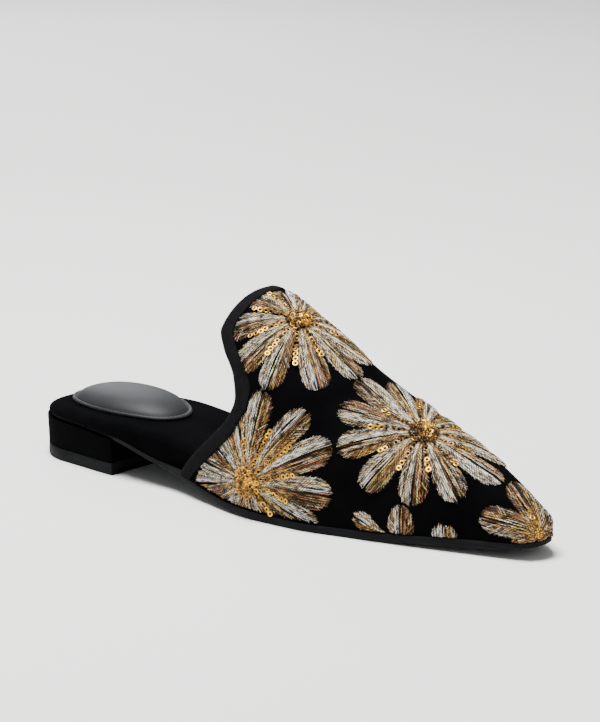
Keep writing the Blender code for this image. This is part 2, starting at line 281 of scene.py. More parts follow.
def mesh_piece(name, points, face_sets, material, sharp=None, uv=None, tint=None):
    """One named mesh from points in the last's millimetres and arrays of faces.

    uv holds two values and tint three for each point; both follow the surface.
    """
    mesh = bpy.data.meshes.new(name)
    faces = [face for group in face_sets for face in group.tolist()]
    mesh.from_pydata(to_frame(points).tolist(), [], faces)
    corner = np.zeros(len(mesh.loops), dtype=np.int32)
    mesh.loops.foreach_get("vertex_index", corner)
    if uv is not None:
        layer = mesh.uv_layers.new(name="surface")
        layer.data.foreach_set("uv", uv.reshape(-1, 2)[corner].astype(np.float32).ravel())
    if tint is not None:
        opaque = np.concatenate([tint.reshape(-1, 3), np.ones((tint.size // 3, 1))], axis=1)
        colours = mesh.color_attributes.new("tint", "FLOAT_COLOR", "POINT")
        colours.data.foreach_set("color", opaque.astype(np.float32).ravel())
    mesh.shade_smooth()
    if sharp is not None:
        mesh.set_sharp_from_angle(angle=np.radians(sharp))
    mesh.materials.append(material)
    made = bpy.data.objects.new(name, mesh)
    bpy.context.scene.collection.objects.link(made)
    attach(made, "root")
    print(name, "faces:", len(mesh.polygons))
    return made


# %% Material helpers
def linear(code):
    """sRGB hex to linear: ((c + 0.055) / 1.055) to the 2.4, or c / 12.92 when dark."""
    srgb = np.array([int(code[k:k + 2], 16) for k in (1, 3, 5)]) / 255.0
    return np.where(srgb > 0.04045, ((srgb + 0.055) / 1.055) ** 2.4, srgb / 12.92)


def rgba(code):
    return (*linear(code), 1.0)


def add_node(tree, kind, inputs=None, **settings):
    """Add one node: its settings by name, its inputs as values or as sockets to link."""
    made = tree.nodes.new(kind)
    for key, value in settings.items():
        setattr(made, key, value)
    for key, value in (inputs or {}).items():
        if isinstance(value, bpy.types.NodeSocket):
            tree.links.new(value, made.inputs[key])
        else:
            made.inputs[key].default_value = value
    return made


def new_material(name, **shader):
    """A material with one Principled shader; returns it with its tree and its shader."""
    made = bpy.data.materials.new(name)
    made.use_nodes = True
    tree = made.node_tree
    principled = tree.nodes["Principled BSDF"]
    for key, value in shader.items():
        principled.inputs[key.replace("_", " ")].default_value = value
    return made, tree, principled


def two_tones(tree, factor, low, high, low_at=0.0, high_at=1.0):
    """A colour ramp between two hex colours, driven by a factor socket."""
    ramp = add_node(tree, "ShaderNodeValToRGB", {"Fac": factor})
    ramp.color_ramp.elements[0].position = low_at
    ramp.color_ramp.elements[0].color = rgba(low)
    ramp.color_ramp.elements[1].position = high_at
    ramp.color_ramp.elements[1].color = rgba(high)
    return ramp.outputs["Color"]


def object_noise(tree, size_mm, detail=2.0, stretch=(1.0, 1.0, 1.0)):
    """Noise in the object's own space whose blotches are about size_mm across."""
    place = add_node(tree, "ShaderNodeTexCoord")
    mapped = add_node(tree, "ShaderNodeMapping", {"Vector": place.outputs["Object"],
                                                  "Scale": stretch})
    return add_node(tree, "ShaderNodeTexNoise",
                    {"Vector": mapped.outputs["Vector"], "Scale": 1000.0 / size_mm,
                     "Detail": detail}).outputs["Fac"]


def tinted(tree, colour, shader):
    """The base colour is a colour socket times the mesh's tint attribute."""
    tint = add_node(tree, "ShaderNodeAttribute", attribute_name="tint")
    product = add_node(tree, "ShaderNodeVectorMath", {0: colour, 1: tint.outputs["Color"]},
                       operation="MULTIPLY")
    tree.links.new(product.outputs["Vector"], shader.inputs["Base Color"])


def relief(tree, shader, height, depth_mm, strength=1.0):
    """Bump from a height socket, depth_mm from its lowest to its highest."""
    bump = add_node(tree, "ShaderNodeBump",
                    {"Height": height, "Distance": depth_mm * MM, "Strength": strength})
    tree.links.new(bump.outputs["Normal"], shader.inputs["Normal"])
    return bump


# %% [markdown]
# ## Cotton velvet
# Velvet is a cut pile that stands up from a woven ground. Light that comes straight at it is
# swallowed between the fibres, so the face is nearly black, and only light that grazes the
# pile's tips shows, as a faint bloom near the edges. Sheen does that. Slow noise tells where
# the pile has been stroked one way or the other, and fine noise is the pile itself.


# %% Velvet
def velvet():
    made, tree, shader = new_material("cotton_velvet", Roughness=0.95, Specular_IOR_Level=0.01,
                                      Sheen_Weight=0.01, Sheen_Roughness=0.4,
                                      Sheen_Tint=rgba("#8a8a8c"))
    stroked = object_noise(tree, 26.0, 3.0)
    tree.links.new(two_tones(tree, stroked, "#040405", "#09090a", 0.35, 0.7),
                   shader.inputs["Base Color"])
    pile = object_noise(tree, 0.7, 2.0)      # drawn about twice as coarse as real pile
    relief(tree, shader, pile, 0.12, 0.5)
    return made


VELVET = velvet()

# %% [markdown]
# ## Lining leather
# The inside of the upper is lined with thin, smooth, dark leather. It is split skin with a
# rolled finish, so its grain is small and its gloss is low.


# %% Lining
def lining_leather():
    made, tree, shader = new_material("lining_leather", Roughness=0.62, Specular_IOR_Level=0.35)
    blotch = object_noise(tree, 9.0, 3.0)
    tree.links.new(two_tones(tree, blotch, "#2b2b2d", "#353537", 0.3, 0.7),
                   shader.inputs["Base Color"])
    relief(tree, shader, object_noise(tree, 0.8, 3.0), 0.06, 0.5)
    return made


LINING = lining_leather()

# %% [markdown]
# ## The upper
# Velvet and lining are glued together over the last, which makes a wall of 2 mm. Two thin
# shells are made here: velvet outside and leather inside. Each is the last's own surface at
# two depths, joined round its rim, so it is closed like the real sheet.
# The velvet runs on under the binding, as it does on the real shoe.

# %% Shells of the upper
UPPER_ROWS, UPPER_COLUMNS = 120, 161
VELVET_DEPTH = 1.1
UNDER_BINDING = 1.2        # how far inside the topline the wall's raw edge is


def shell(name, depth_out, depth_in, material):
    """A sheet between two depths of the last: x = tip - (tip - edge) * run², per share."""
    share = np.linspace(0.0, 1.0, UPPER_COLUMNS)
    edge = from_topline(UNDER_BINDING, share)
    run = np.linspace(0.0, 1.0, UPPER_ROWS)[1:, None]
    x = LENGTH - (LENGTH - edge[None, :]) * run**2
    spread = np.broadcast_to(share, x.shape)
    face, normal = last_point(x, spread), last_normal(x, spread)
    outer, inner = face - depth_out * normal, face - depth_in * normal
    rows, columns = x.shape
    size = rows * columns
    tip = np.array([LENGTH, plan_edges(LENGTH)[0], outsole_top(LENGTH) + GAP])
    tips = np.stack([tip - (depth_out, 0.0, 0.0), tip - (depth_in, 0.0, 0.0)])
    points = np.concatenate([outer.reshape(-1, 3), inner.reshape(-1, 3), tips])
    quads = grid_quads(rows, columns)
    j = np.arange(columns - 1)
    i = np.arange(rows - 1)
    last = (rows - 1) * columns + j
    start, end = i * columns, (i + 1) * columns
    near, far = start + columns - 1, end + columns - 1
    sides = [quads, size + quads[:, ::-1],
             np.stack([np.full(columns - 1, 2 * size), j + 1, j], -1),
             np.stack([np.full(columns - 1, 2 * size + 1), size + j, size + j + 1], -1),
             np.stack([last, last + 1, size + last + 1, size + last], -1),
             np.stack([start, end, size + end, size + start], -1),
             np.stack([far, near, size + near, size + far], -1),
             np.array([[2 * size, 0, size, 2 * size + 1]]),
             np.array([[columns - 1, 2 * size, 2 * size + 1, size + columns - 1]])]
    made = mesh_piece(name, points, sides, material, sharp=60.0)
    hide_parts("upper")
    return made


upper_velvet = shell("upper_velvet", 0.0, VELVET_DEPTH, VELVET)
upper_lining = shell("upper_lining", VELVET_DEPTH + 0.02, WALL, LINING)

# %% [markdown]
# ## Grosgrain binding
# Grosgrain is a ribbon whose thick weft makes cross ribs about half a millimetre apart. It is
# folded over the topline and stitched through. The fold is a U-shaped profile carried along
# the topline, and each rib is a real ridge, because the ribs catch the light on the fold. On
# top of that the grooves between the ribs are painted darker and the crests lighter: painted
# shade and painted highlight.


# %% Grosgrain
def grosgrain():
    """UV holds millimetres along and across the ribbon."""
    made, tree, shader = new_material("grosgrain_ribbon", Roughness=0.8,
                                      Specular_IOR_Level=0.05, Sheen_Weight=0.01,
                                      Sheen_Roughness=0.5, Sheen_Tint=rgba("#a0a0a8"))
    blotch = object_noise(tree, 3.0, 3.0)
    # The tint attribute carries the ribs' painted shade and painted highlight.
    tinted(tree, two_tones(tree, blotch, "#0d0d0f", "#151517", 0.3, 0.7), shader)
    yarn = add_node(tree, "ShaderNodeUVMap", uv_map="surface")
    warp = add_node(tree, "ShaderNodeTexWave",
                    {"Vector": yarn.outputs["UV"], "Scale": 1.1, "Distortion": 1.5},
                    bands_direction="Y")
    relief(tree, shader, warp.outputs["Fac"], 0.05, 0.4)
    return made


GROSGRAIN = grosgrain()
RIB_PITCH = 0.74           # a real rib is nearer 0.4 mm: drawn a little coarser so it shows
RIB_HEIGHT = 0.16
RIB_SAMPLES = 4
BINDING_PROUD = 0.5
FOLD_THICK = 0.42
# One leg of the folded tape: distance from the topline, and share of the way through the wall
FOLD = table("along through",
             (6.5, 0.0), (6.43, -0.06), (5.7, -0.1), (3.2, -0.13), (1.2, -0.1), (0.35, -0.03),
             (-0.1, 0.12), (-0.3, 0.32), (-0.36, 0.5), (-0.3, 0.68), (-0.1, 0.88),
             (0.35, 1.03), (1.2, 1.1), (3.2, 1.13), (5.7, 1.1), (6.43, 1.06), (6.5, 1.0))


def even_shares(distance, count):
    """Shares that are evenly spaced in millimetres along a line near the topline."""
    line = last_point(from_topline(distance, FINE_SHARES), FINE_SHARES)
    run = np.concatenate([[0.0], np.cumsum(np.linalg.norm(np.diff(line, axis=0), axis=1))])
    return np.interp(np.linspace(0.0, run[-1], count), run, FINE_SHARES), run[-1]


def binding():
    """The fold's outer profile, then its inner one, carried along the topline; ribs by cosine."""
    length = even_shares(3.0, 3)[1]
    ribs = int(length / RIB_PITCH)
    count = ribs * RIB_SAMPLES + 1
    share = even_shares(3.0, count)[0]
    wave = 0.5 - 0.5 * np.cos(2.0 * np.pi * np.arange(count) / RIB_SAMPLES)
    wall = WALL + 2.0 * BINDING_PROUD - 0.3
    lines, across = [], []
    for along, through in zip(FOLD["along"], FOLD["through"]):
        x = from_topline(along, share)
        depth = wall * through - BINDING_PROUD + 0.15
        outwards = np.clip(2.0 * (0.5 - through), -1.0, 1.0)
        offset = -depth + RIB_HEIGHT * wave * outwards
        lines.append(last_point(x, share) + offset[:, None] * last_normal(x, share))
        across.append(along + 8.0 * through)
    for along, through in zip(FOLD["along"][::-1], FOLD["through"][::-1]):
        x = from_topline(np.maximum(along, -0.36) + FOLD_THICK * (along < 1.0), share)
        depth = np.clip(wall * through - BINDING_PROUD + 0.15, -0.06, WALL + 0.06)
        lines.append(last_point(x, share) - depth * last_normal(x, share))
        across.append(along + 8.0 * through)
    points = np.stack(lines)
    rows = len(lines)
    quads = grid_quads(rows, count, close_rows=True)
    ends = [np.arange(rows)[None, :] * count, np.arange(rows)[None, ::-1] * count + count - 1]
    along_mm = np.broadcast_to(np.linspace(0.0, length, count), (rows, count))
    uv = np.stack([along_mm, np.broadcast_to(np.array(across)[:, None], (rows, count))], -1)
    # Painted shade in the grooves between the ribs and painted highlight on their crests: the tint
    # runs from 0.2 to 1.4 with the rib wave.
    rib_crest_highlight_and_groove_shade = np.broadcast_to((0.2 + 1.2 * wave)[None, :, None], points.shape)
    made = mesh_piece("topline_binding_ribs", points, [quads, *ends], GROSGRAIN,
                      sharp=70.0, uv=uv, tint=rib_crest_highlight_and_groove_shade)
    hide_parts("topline_binding")
    print("binding:", round(length), "mm long with", ribs, "ribs")
    return made


ribbed_binding = binding()

# %% [markdown]
# ## Sole, heel and footbed
# These are stacks: the shoe's plan, moved in or out a little at each level. Rounded edges are
# short quarter turns in the profile, so light runs along them as on moulded rubber or on a
# wrapped board.


# %% Stacks of plan loops
def outline(x, inset):
    """Closed plan loop, moved in by an inset along its own normal."""
    y_outer, y_inner = plan_edges(x)
    loop = np.concatenate([np.stack([x, y_outer], 1), np.stack([x, y_inner], 1)[-2:0:-1]])
    ahead = np.roll(loop, -1, axis=0) - np.roll(loop, 1, axis=0)
    normal = unit(np.stack([-ahead[:, 1], ahead[:, 0]], 1))
    amount = np.concatenate([inset, inset[-2:0:-1]])
    return loop + normal * amount[:, None]


def heel_outline(x, inset):
    """The plan's loop up to the breast, where it is cut straight across."""
    run_on = 2.0
    beyond = np.append(x, x[-1] + run_on)
    loop = outline(beyond, np.full(len(beyond), inset))
    outer, inner = loop[:len(x)], loop[len(x) + 1:]
    outer[-1, 0] = inner[0, 0] = x[-1]
    return np.concatenate([outer, inner])


def at_height(loop, height):
    return np.column_stack([loop, height(loop[:, 0])])


def cap(count, first, pairs, upward):
    """Faces straight across a loop, from each point of one side to its pair on the other."""
    k = np.arange(pairs)
    quads = np.stack([first + k, first + k + 1, first + (count - k - 1) % count,
                      first + (count - k) % count], -1)
    faces = [list(dict.fromkeys(quad)) for quad in quads.tolist()]
    return [face if upward else face[::-1] for face in faces]


def stack_piece(name, rings, pairs, material, node, sharp=40.0, tint=None):
    """Loops of equal length from the bottom up, skinned and capped."""
    count = len(rings[0])
    top = (len(rings) - 1) * count
    caps = cap(count, 0, pairs, False) + cap(count, top, pairs, True)
    triangles = np.array([face for face in caps if len(face) == 3])
    quads = [face for face in caps if len(face) == 4]
    sets = [grid_quads(len(rings), count, close_columns=True), np.array(quads)]
    if len(triangles):
        sets.append(triangles)
    made = mesh_piece(name, np.concatenate(rings), sets, material, sharp=sharp, tint=tint)
    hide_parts(node)
    return made


def stations(first, last, count):
    turn = np.linspace(0.0, np.pi, count)
    return first + (last - first) * 0.5 * (1.0 - np.cos(turn))


# %% [markdown]
# ## Rubber of the sole and heel lift
# Thin moulded rubber sheet, cut to shape and buffed at the edge. Buffing leaves it dull and
# a little lighter than the face, with fine lines that run along the edge.


# %% Rubber
def sole_rubber():
    made, tree, shader = new_material("buffed_sole_rubber", Roughness=0.66,
                                      Specular_IOR_Level=0.06)
    streak = object_noise(tree, 1.6, 3.0, stretch=(0.12, 0.12, 1.0))
    # The tint attribute carries the painted shade on the sheet's edge under the heel.
    tinted(tree, two_tones(tree, streak, "#0e0f10", "#17181a", 0.3, 0.72), shader)
    relief(tree, shader, object_noise(tree, 0.6, 2.0, stretch=(0.25, 0.25, 1.0)), 0.05, 0.5)
    return made


RUBBER = sole_rubber()
SOLE_STATIONS = 320
EDGE_ROUND = 0.5
TOP_ROUND = 0.25
ROUND_TURNS = np.radians([0.0, 30.0, 60.0, 90.0])


def outsole_piece():
    """Two quarter turns, at the bottom and the top of the sole's edge."""
    x = stations(0.0, LENGTH, SOLE_STATIONS)
    proud = -smooth(x, OUTSOLE, "proud")
    rings = []
    for turn in ROUND_TURNS:
        loop = outline(x, proud + EDGE_ROUND * (1.0 - np.sin(turn)))
        lift = EDGE_ROUND * (1.0 - np.cos(turn))
        rings.append(at_height(loop, lambda x: smooth(x, UNDERSIDE, "z") + lift))
    for turn in ROUND_TURNS:
        loop = outline(x, proud + TOP_ROUND * (1.0 - np.cos(turn)))
        drop = TOP_ROUND * (1.0 - np.sin(turn))
        rings.append(at_height(loop, lambda x: outsole_top(x) - drop))
    # Painted shade: behind the heel's breast the sheet's edge lies in the slot between heel block
    # and footbed, so it is painted nearly black there.
    heel_slot_shade = 0.03 + 0.97 * ease((np.concatenate(rings)[:, 0] - HEEL_BREAST) / 6.0)
    return stack_piece("outsole_sheet", rings, SOLE_STATIONS - 1, RUBBER,
                       "outsole", tint=np.repeat(heel_slot_shade[:, None], 3, axis=1))


def footbed_piece():
    """A wall, then a quarter ellipse over the wrapped edge."""
    x = stations(0.0, LENGTH, SOLE_STATIONS)
    inset = smooth(x, FOOTBED, "inset")
    wide = smooth(x, FOOTBED, "wide")
    rings = [at_height(outline(x, inset), lambda x: outsole_top(x) + GAP)]
    for turn in np.radians(np.linspace(0.0, 90.0, 10)):
        loop = outline(x, inset + wide * (1.0 - np.cos(turn)))
        share = 1.0 - np.sin(turn)
        rings.append(at_height(loop, lambda x: (smooth(x, FOOTBED, "top")
                                                - share * smooth(x, FOOTBED, "deep"))))
    return stack_piece("footbed_velvet", rings, SOLE_STATIONS - 1, VELVET, "footbed")


HEEL_STATIONS = 64
HEEL_ARRIS = 0.35


def heel_piece(name, base, top, inset_low, inset_high, material, node):
    """The heel's loop between two heights, with a small round at the bottom and the top."""
    x = HEEL_BREAST * (1.0 - np.cos(np.linspace(0.0, 0.5 * np.pi, HEEL_STATIONS)))
    rings = []
    for turn in ROUND_TURNS:
        loop = heel_outline(x, inset_low + HEEL_ARRIS * (1.0 - np.sin(turn)))
        lift = HEEL_ARRIS * (1.0 - np.cos(turn))
        rings.append(at_height(loop, lambda x: base(x) + lift))
    for turn in ROUND_TURNS:
        loop = heel_outline(x, inset_high + HEEL_ARRIS * (1.0 - np.cos(turn)))
        drop = HEEL_ARRIS * (1.0 - np.sin(turn))
        rings.append(at_height(loop, lambda x: top(x) - drop))
    even = np.ones((len(rings) * len(rings[0]), 3))
    return stack_piece(name, rings, len(x) - 1, material, node, tint=even)


outsole_sheet = outsole_piece()
footbed_velvet = footbed_piece()
heel_block_velvet = heel_piece("heel_block_velvet",
                               lambda x: np.full_like(x, LIFT_HEIGHT + GAP),
                               lambda x: smooth(x, UNDERSIDE, "z") - GAP,
                               BLOCK_INSET_LOW, BLOCK_INSET_HIGH, VELVET,
                               "heel_block")
heel_lift_rubber = heel_piece("heel_lift_rubber", lambda x: np.zeros_like(x),
                              lambda x: np.full_like(x, LIFT_HEIGHT),
                              LIFT_INSET, LIFT_INSET, RUBBER, "heel_lift")

# %% [markdown]
# ## The padded heel pad
# Soft leather is drawn over foam and stitched down near its edge, so a flat rim is left, then
# a groove, then a crown. It is a stack of ovals (superellipses) that follows the footbed.


# %% Pad leather
def pad_leather():
    """Voronoi cells are the skin's pebbles; noise gives the slow changes of tone."""
    made, tree, shader = new_material("nappa_leather", Roughness=0.6, Specular_IOR_Level=0.36)
    blotch = object_noise(tree, 14.0, 3.0)
    tree.links.new(two_tones(tree, blotch, "#17181a", "#1f2022", 0.3, 0.7),
                   shader.inputs["Base Color"])
    place = add_node(tree, "ShaderNodeTexCoord")
    cells = add_node(tree, "ShaderNodeTexVoronoi",
                     {"Vector": place.outputs["Object"], "Scale": 1000.0 / 0.9})
    relief(tree, shader, cells.outputs["Distance"], 0.06, 0.35)
    return made


NAPPA = pad_leather()
PAD_POINTS = 220
# The pad's profile, base first: share of the half-axes, and height over the footbed
PAD_PROFILE = table("share height",
                    (0.985, -0.25), (0.998, 0.2), (1.0, 0.6), (0.996, 1.0), (0.985, 1.26),
                    (0.97, 1.34), (0.955, 1.26), (0.945, 0.95), (0.937, 0.8), (0.928, 1.1),
                    (0.91, 1.9), (0.875, 2.75), (0.81, 3.85), (0.72, 4.9), (0.62, 5.7),
                    (0.50, 6.3), (0.36, 6.8), (0.22, 7.0), (0.10, 7.08), (0.03, 7.1))


def pad_ring(share, height, turns):
    """Superellipse: signed powers of cosine and sine, turned and laid on the footbed's top."""
    power = 2.0 / PAD_SQUARENESS
    ahead = 0.5 * PAD_LENGTH * np.sign(np.cos(turns)) * np.abs(np.cos(turns)) ** power
    aside = 0.5 * PAD_WIDTH * np.sign(np.sin(turns)) * np.abs(np.sin(turns)) ** power
    cosine, sine = np.cos(np.radians(PAD_TURN)), np.sin(np.radians(PAD_TURN))
    x = PAD_CENTRE[0] + share * (ahead * cosine - aside * sine)
    y = PAD_CENTRE[1] + share * (ahead * sine + aside * cosine)
    return np.stack([x, y, smooth(x, FOOTBED, "top") + GAP + height], axis=-1)


def pad_piece():
    turns = np.linspace(0.0, 2.0 * np.pi, PAD_POINTS, endpoint=False)
    rings = [pad_ring(share, height, turns)
             for share, height in zip(PAD_PROFILE["share"], PAD_PROFILE["height"])]
    made = stack_piece("heel_pad_leather", rings, PAD_POINTS // 2, NAPPA,
                       "heel_pad", sharp=80.0)
    return made


heel_pad_leather = pad_piece()


# %% Stitches round the pad
PAD_STITCH_PITCH = 2.2
PAD_STITCH_LENGTH = 1.5
STITCH_SHARE = 0.94       # in the groove between rim and crown


def waxed_thread():
    made, tree, shader = new_material("waxed_polyester_thread", Roughness=0.6)
    twist = object_noise(tree, 0.7, 1.0)
    tree.links.new(two_tones(tree, twist, "#303033", "#48484c", 0.35, 0.65),
                   shader.inputs["Base Color"])
    return made


def pad_stitches():
    """One short tube for each stitch, at even steps of length round the groove."""
    fine = np.linspace(0.0, 2.0 * np.pi, 1441)
    groove = pad_ring(STITCH_SHARE, 1.02, fine)
    run = np.concatenate([[0.0], np.cumsum(np.linalg.norm(np.diff(groove, axis=0), axis=1))])
    count = round(run[-1] / PAD_STITCH_PITCH)
    middle = (np.arange(count) + 0.5) * run[-1] / count
    part = np.linspace(-0.5, 0.5, 5)
    turns = np.interp(middle[:, None] + PAD_STITCH_LENGTH * part, run, fine)
    centre = pad_ring(STITCH_SHARE, 1.02 - 0.5 * part**2, turns)
    normal = np.broadcast_to((0.0, 0.0, 1.0), centre.shape)
    width = np.broadcast_to(0.55 * np.sqrt(1.1 - (2.0 * part) ** 2), turns.shape)
    corners, quads, first, last = tubes(centre, normal, width)
    mesh_piece("heel_pad_stitches", corners, [quads, first, last], waxed_thread())
    print("stitches round the pad:", count)


pad_stitches()

# %% [markdown]
# ## Drawing flat, wearing round
# The flowers are stitched on flat velvet, which is then pulled over the last. So each flower
# is drawn flat, in a heading and a distance from its middle, and wrapped: a straight line on
# the cloth becomes the straightest line on the last. The chart below walks such lines out of
# a flower's middle in every heading. A heading of 0 is to the toe, and 90 is towards the
# foot's inner side.

# %% Chart of straightest lines
CHART_STEP = 0.5
CHART_REACH = 46.0
HEADING_STEP = 2.0
VELVET_EDGE = 0.45        # the velvet shows from this far beyond the binding
SOLE_EDGE = 0.35          # and from this high over the outsole
BINDING_LINE = from_topline(BINDING_WIDTH + VELVET_EDGE, FINE_SHARES)


def flower_chart(x_middle, share_middle):
    """X, share and an on-the-last flag for each distance (rows) and heading (columns).

    Each step solves along * dx + round * dshare = step, then the direction loses its part
    along the new normal, which keeps it as straight as the surface allows.
    """
    turn = np.radians(np.arange(0.0, 360.0 + HEADING_STEP, HEADING_STEP))[:, None]
    x = np.full(len(turn), x_middle)
    share = np.full(len(turn), share_middle)
    along, round_ = slopes(x, share)
    normal = unit(np.cross(along, round_))
    way = np.cos(turn) * unit(along) + np.sin(turn) * np.cross(normal, unit(along))
    on_last = np.ones(len(turn))
    rows = [np.stack([x, share, on_last], axis=-1)]
    for _ in range(int(CHART_REACH / CHART_STEP)):
        along, round_ = slopes(x, share)
        aa, ab, bb = dot(along, along), dot(along, round_), dot(round_, round_)
        wa, wb = dot(way, along), dot(way, round_)
        determinant = aa * bb - ab**2
        x = x + CHART_STEP * (wa * bb - wb * ab) / determinant
        share = share + CHART_STEP * (wb * aa - wa * ab) / determinant
        inside = (share > 0.001) & (share < 0.999) & (x < LENGTH - 0.1)
        on_last = np.where(inside, on_last, 0.0)
        x = np.clip(x, 90.0, LENGTH - 0.06)
        share = np.clip(share, 0.0, 1.0)
        normal = last_normal(x, share)
        way = unit(way - dot(way, normal)[:, None] * normal)
        rows.append(np.stack([x, share, on_last], axis=-1))
    return np.stack(rows)


def read_chart(chart, u, y, heading):
    """Bilinear reading at u millimetres along a heading and y to its left."""
    distance = np.hypot(u, y) / CHART_STEP
    turn = (heading + np.degrees(np.arctan2(y, u))) % 360.0 / HEADING_STEP
    i = np.clip(distance.astype(int), 0, chart.shape[0] - 2)
    j = np.clip(turn.astype(int), 0, chart.shape[1] - 2)
    p = np.clip(distance - i, 0.0, 1.0)[..., None]
    q = (turn - j)[..., None]
    near = chart[i, j] * (1.0 - q) + chart[i, j + 1] * q
    far = chart[i + 1, j] * (1.0 - q) + chart[i + 1, j + 1] * q
    found = near * (1.0 - p) + far * p
    x, share = found[..., 0], found[..., 1]
    height = last_point(x, share)[..., 2] - outsole_top(x)
    seen = (found[..., 2] > 0.999) & (x > np.interp(share, FINE_SHARES, BINDING_LINE))
    return x, share, seen & (height > SOLE_EDGE)


# %% [markdown]
# ## Petals of satin stitch
# A petal is a few dozen long stitches of shiny rayon thread, side by side over some padding,
# so it is crowned. Its threads run lengthwise: pale ones on one side of a dark rib, and tan,
# rust and brown ones on the other. Short slanting stitches along both edges feather it out.
# Each thread is a slim closed tube here, since the play of light over separate threads is
# what makes satin stitch look like silk.

# %% Thread colours
THREAD_CODES = ("#fff0d6", "#ccbea4", "#8a7c70", "#e2bc7c", "#aa7c40", "#7d6b38", "#523420",
                "#94563a", "#080504")
THREAD_SHADES = np.array([linear(code) for code in THREAD_CODES])
# Share of each shade in five zones, from the petal's tan edge over the rib to its pale edge
ZONES = table("white silver lilac cream tan olive brown rust dark",
              (0.04, 0.03, 0.05, 0.11, 0.22, 0.11, 0.17, 0.08, 0.19),
              (0.07, 0.02, 0.02, 0.17, 0.25, 0.07, 0.15, 0.07, 0.18),
              (0.02, 0.01, 0.02, 0.03, 0.08, 0.03, 0.20, 0.05, 0.56),
              (0.60, 0.08, 0.01, 0.13, 0.03, 0.01, 0.02, 0.01, 0.11),
              (0.34, 0.12, 0.05, 0.15, 0.10, 0.03, 0.05, 0.02, 0.14))
ZONE_LIMITS = np.array([-0.5, -0.09, 0.07, 0.46])


def thread_shades(zone_place, rng):
    """One shade for each thread: the zone's shares are summed and a random number picks."""
    sums = np.cumsum(np.stack(list(ZONES.values()), axis=-1), axis=-1)
    zone = np.searchsorted(ZONE_LIMITS, zone_place)
    pick = (rng.random(zone_place.shape)[..., None] > sums[zone]).sum(-1)
    shade = THREAD_SHADES[np.minimum(pick, len(THREAD_SHADES) - 1)]
    return np.minimum(shade * np.exp(rng.normal(0.0, 0.4, zone_place.shape))[..., None], 0.88)


# %% Thread
HOLE_PITCH = 1.25         # a real row of needle holes comes every 0.85 mm: coarser, to show
HOLE_SLANT = 1.0
WAVE_TURNS = 20.0         # a wave texture runs through this many radians in each unit


def rayon_thread():
    """Trilobal rayon is glossy along its filaments; the tint attribute holds each dye.

    UV holds millimetres along and across a petal. Needle holes lie in rows, and a row is
    where u - slant * |v| is a multiple of the pitch, so rows slant out like a feather's barbs.
    Along the rows the dye is darkened as painted shade in the holes, and made lighter between.
    Long thin noise cells scale the dye from 0.1 to 1.6: painted highlight where the filaments
    catch the light over a few millimetres, and painted shade between them.
    """
    made, tree, shader = new_material("rayon_embroidery_thread", Roughness=0.4,
                                      Specular_IOR_Level=0.2)
    dye = add_node(tree, "ShaderNodeAttribute", attribute_name="tint")
    place = add_node(tree, "ShaderNodeUVMap", uv_map="surface")
    part = add_node(tree, "ShaderNodeSeparateXYZ", {"Vector": place.outputs["UV"]})
    aside = add_node(tree, "ShaderNodeMath", {0: part.outputs["Y"]}, operation="ABSOLUTE")
    row = add_node(tree, "ShaderNodeMath",
                   {0: aside.outputs["Value"], 1: -HOLE_SLANT, 2: part.outputs["X"]},
                   operation="MULTIPLY_ADD")
    slanted = add_node(tree, "ShaderNodeCombineXYZ",
                       {"X": row.outputs["Value"], "Y": part.outputs["Y"]})
    rows = add_node(tree, "ShaderNodeTexWave",
                    {"Vector": slanted.outputs["Vector"], "Distortion": 1.2,
                     "Scale": 2.0 * np.pi / (WAVE_TURNS * HOLE_PITCH), "Detail Scale": 2.0},
                    bands_direction="X")
    # Painted shade in the needle-hole rows: the darkest factor changes in slow patches, and the dye
    # goes up to 1.25 between the rows.
    deepest_hole_shade = add_node(tree, "ShaderNodeMapRange",
                    {"Value": object_noise(tree, 5.0, 2.0), "From Min": 0.35, "From Max": 0.65,
                     "To Min": 0.1, "To Max": 0.65})
    hole_row_shade = add_node(tree, "ShaderNodeMapRange",
                      {"Value": rows.outputs["Fac"], "From Min": 0.1, "From Max": 0.55,
                       "To Min": deepest_hole_shade.outputs["Result"], "To Max": 1.25})
    cells = add_node(tree, "ShaderNodeMapping",
                     {"Vector": place.outputs["UV"], "Scale": (0.3, 2.5, 1.0)})
    glint_and_shade_cells = add_node(tree, "ShaderNodeTexNoise",
                        {"Vector": cells.outputs["Vector"], "Scale": 1.0, "Detail": 1.0})
    # Painted highlight and painted shade along the filaments.
    streak = add_node(tree, "ShaderNodeMapRange",
                      {"Value": glint_and_shade_cells.outputs["Fac"], "From Min": 0.38, "From Max": 0.64,
                       "To Min": 0.1, "To Max": 1.6})
    shade = add_node(tree, "ShaderNodeMath",
                     {0: hole_row_shade.outputs["Result"], 1: streak.outputs["Result"]},
                     operation="MULTIPLY")
    dyed = add_node(tree, "ShaderNodeVectorMath",
                    {0: dye.outputs["Color"], "Scale": shade.outputs["Value"]},
                    operation="SCALE")
    limited = add_node(tree, "ShaderNodeVectorMath",
                       {0: dyed.outputs["Vector"], 1: (0.92, 0.92, 0.92)}, operation="MINIMUM")
    tree.links.new(limited.outputs["Vector"], shader.inputs["Base Color"])
    relief(tree, shader, rows.outputs["Fac"], 0.12, 0.8)
    return made


RAYON = rayon_thread()

# %% Stitches
START = 4.6               # stitches start under the sequins, this far from the middle
TOE_START = 1.8
BASE_SHARE = 0.2          # a petal's width at its start, as a share of its widest
TOE_BASE_SHARE = 0.6
WIDEST = 0.75             # and where it is widest, as a share of its length
THREAD_WIDTH = 0.27
BUNDLES = 24              # satin stitch bunches: three threads of about one shade lie together
BUNDLE_OFFSETS = np.array([-0.16, 0.0, 0.16])
PATCHES = 5               # each thread changes its shade this often, as short stitches do
BASE_GOLD = linear("#c8a260")
BARBS_PER_SIDE = 46
CROWN = 0.85
CUT_SAMPLES = 36


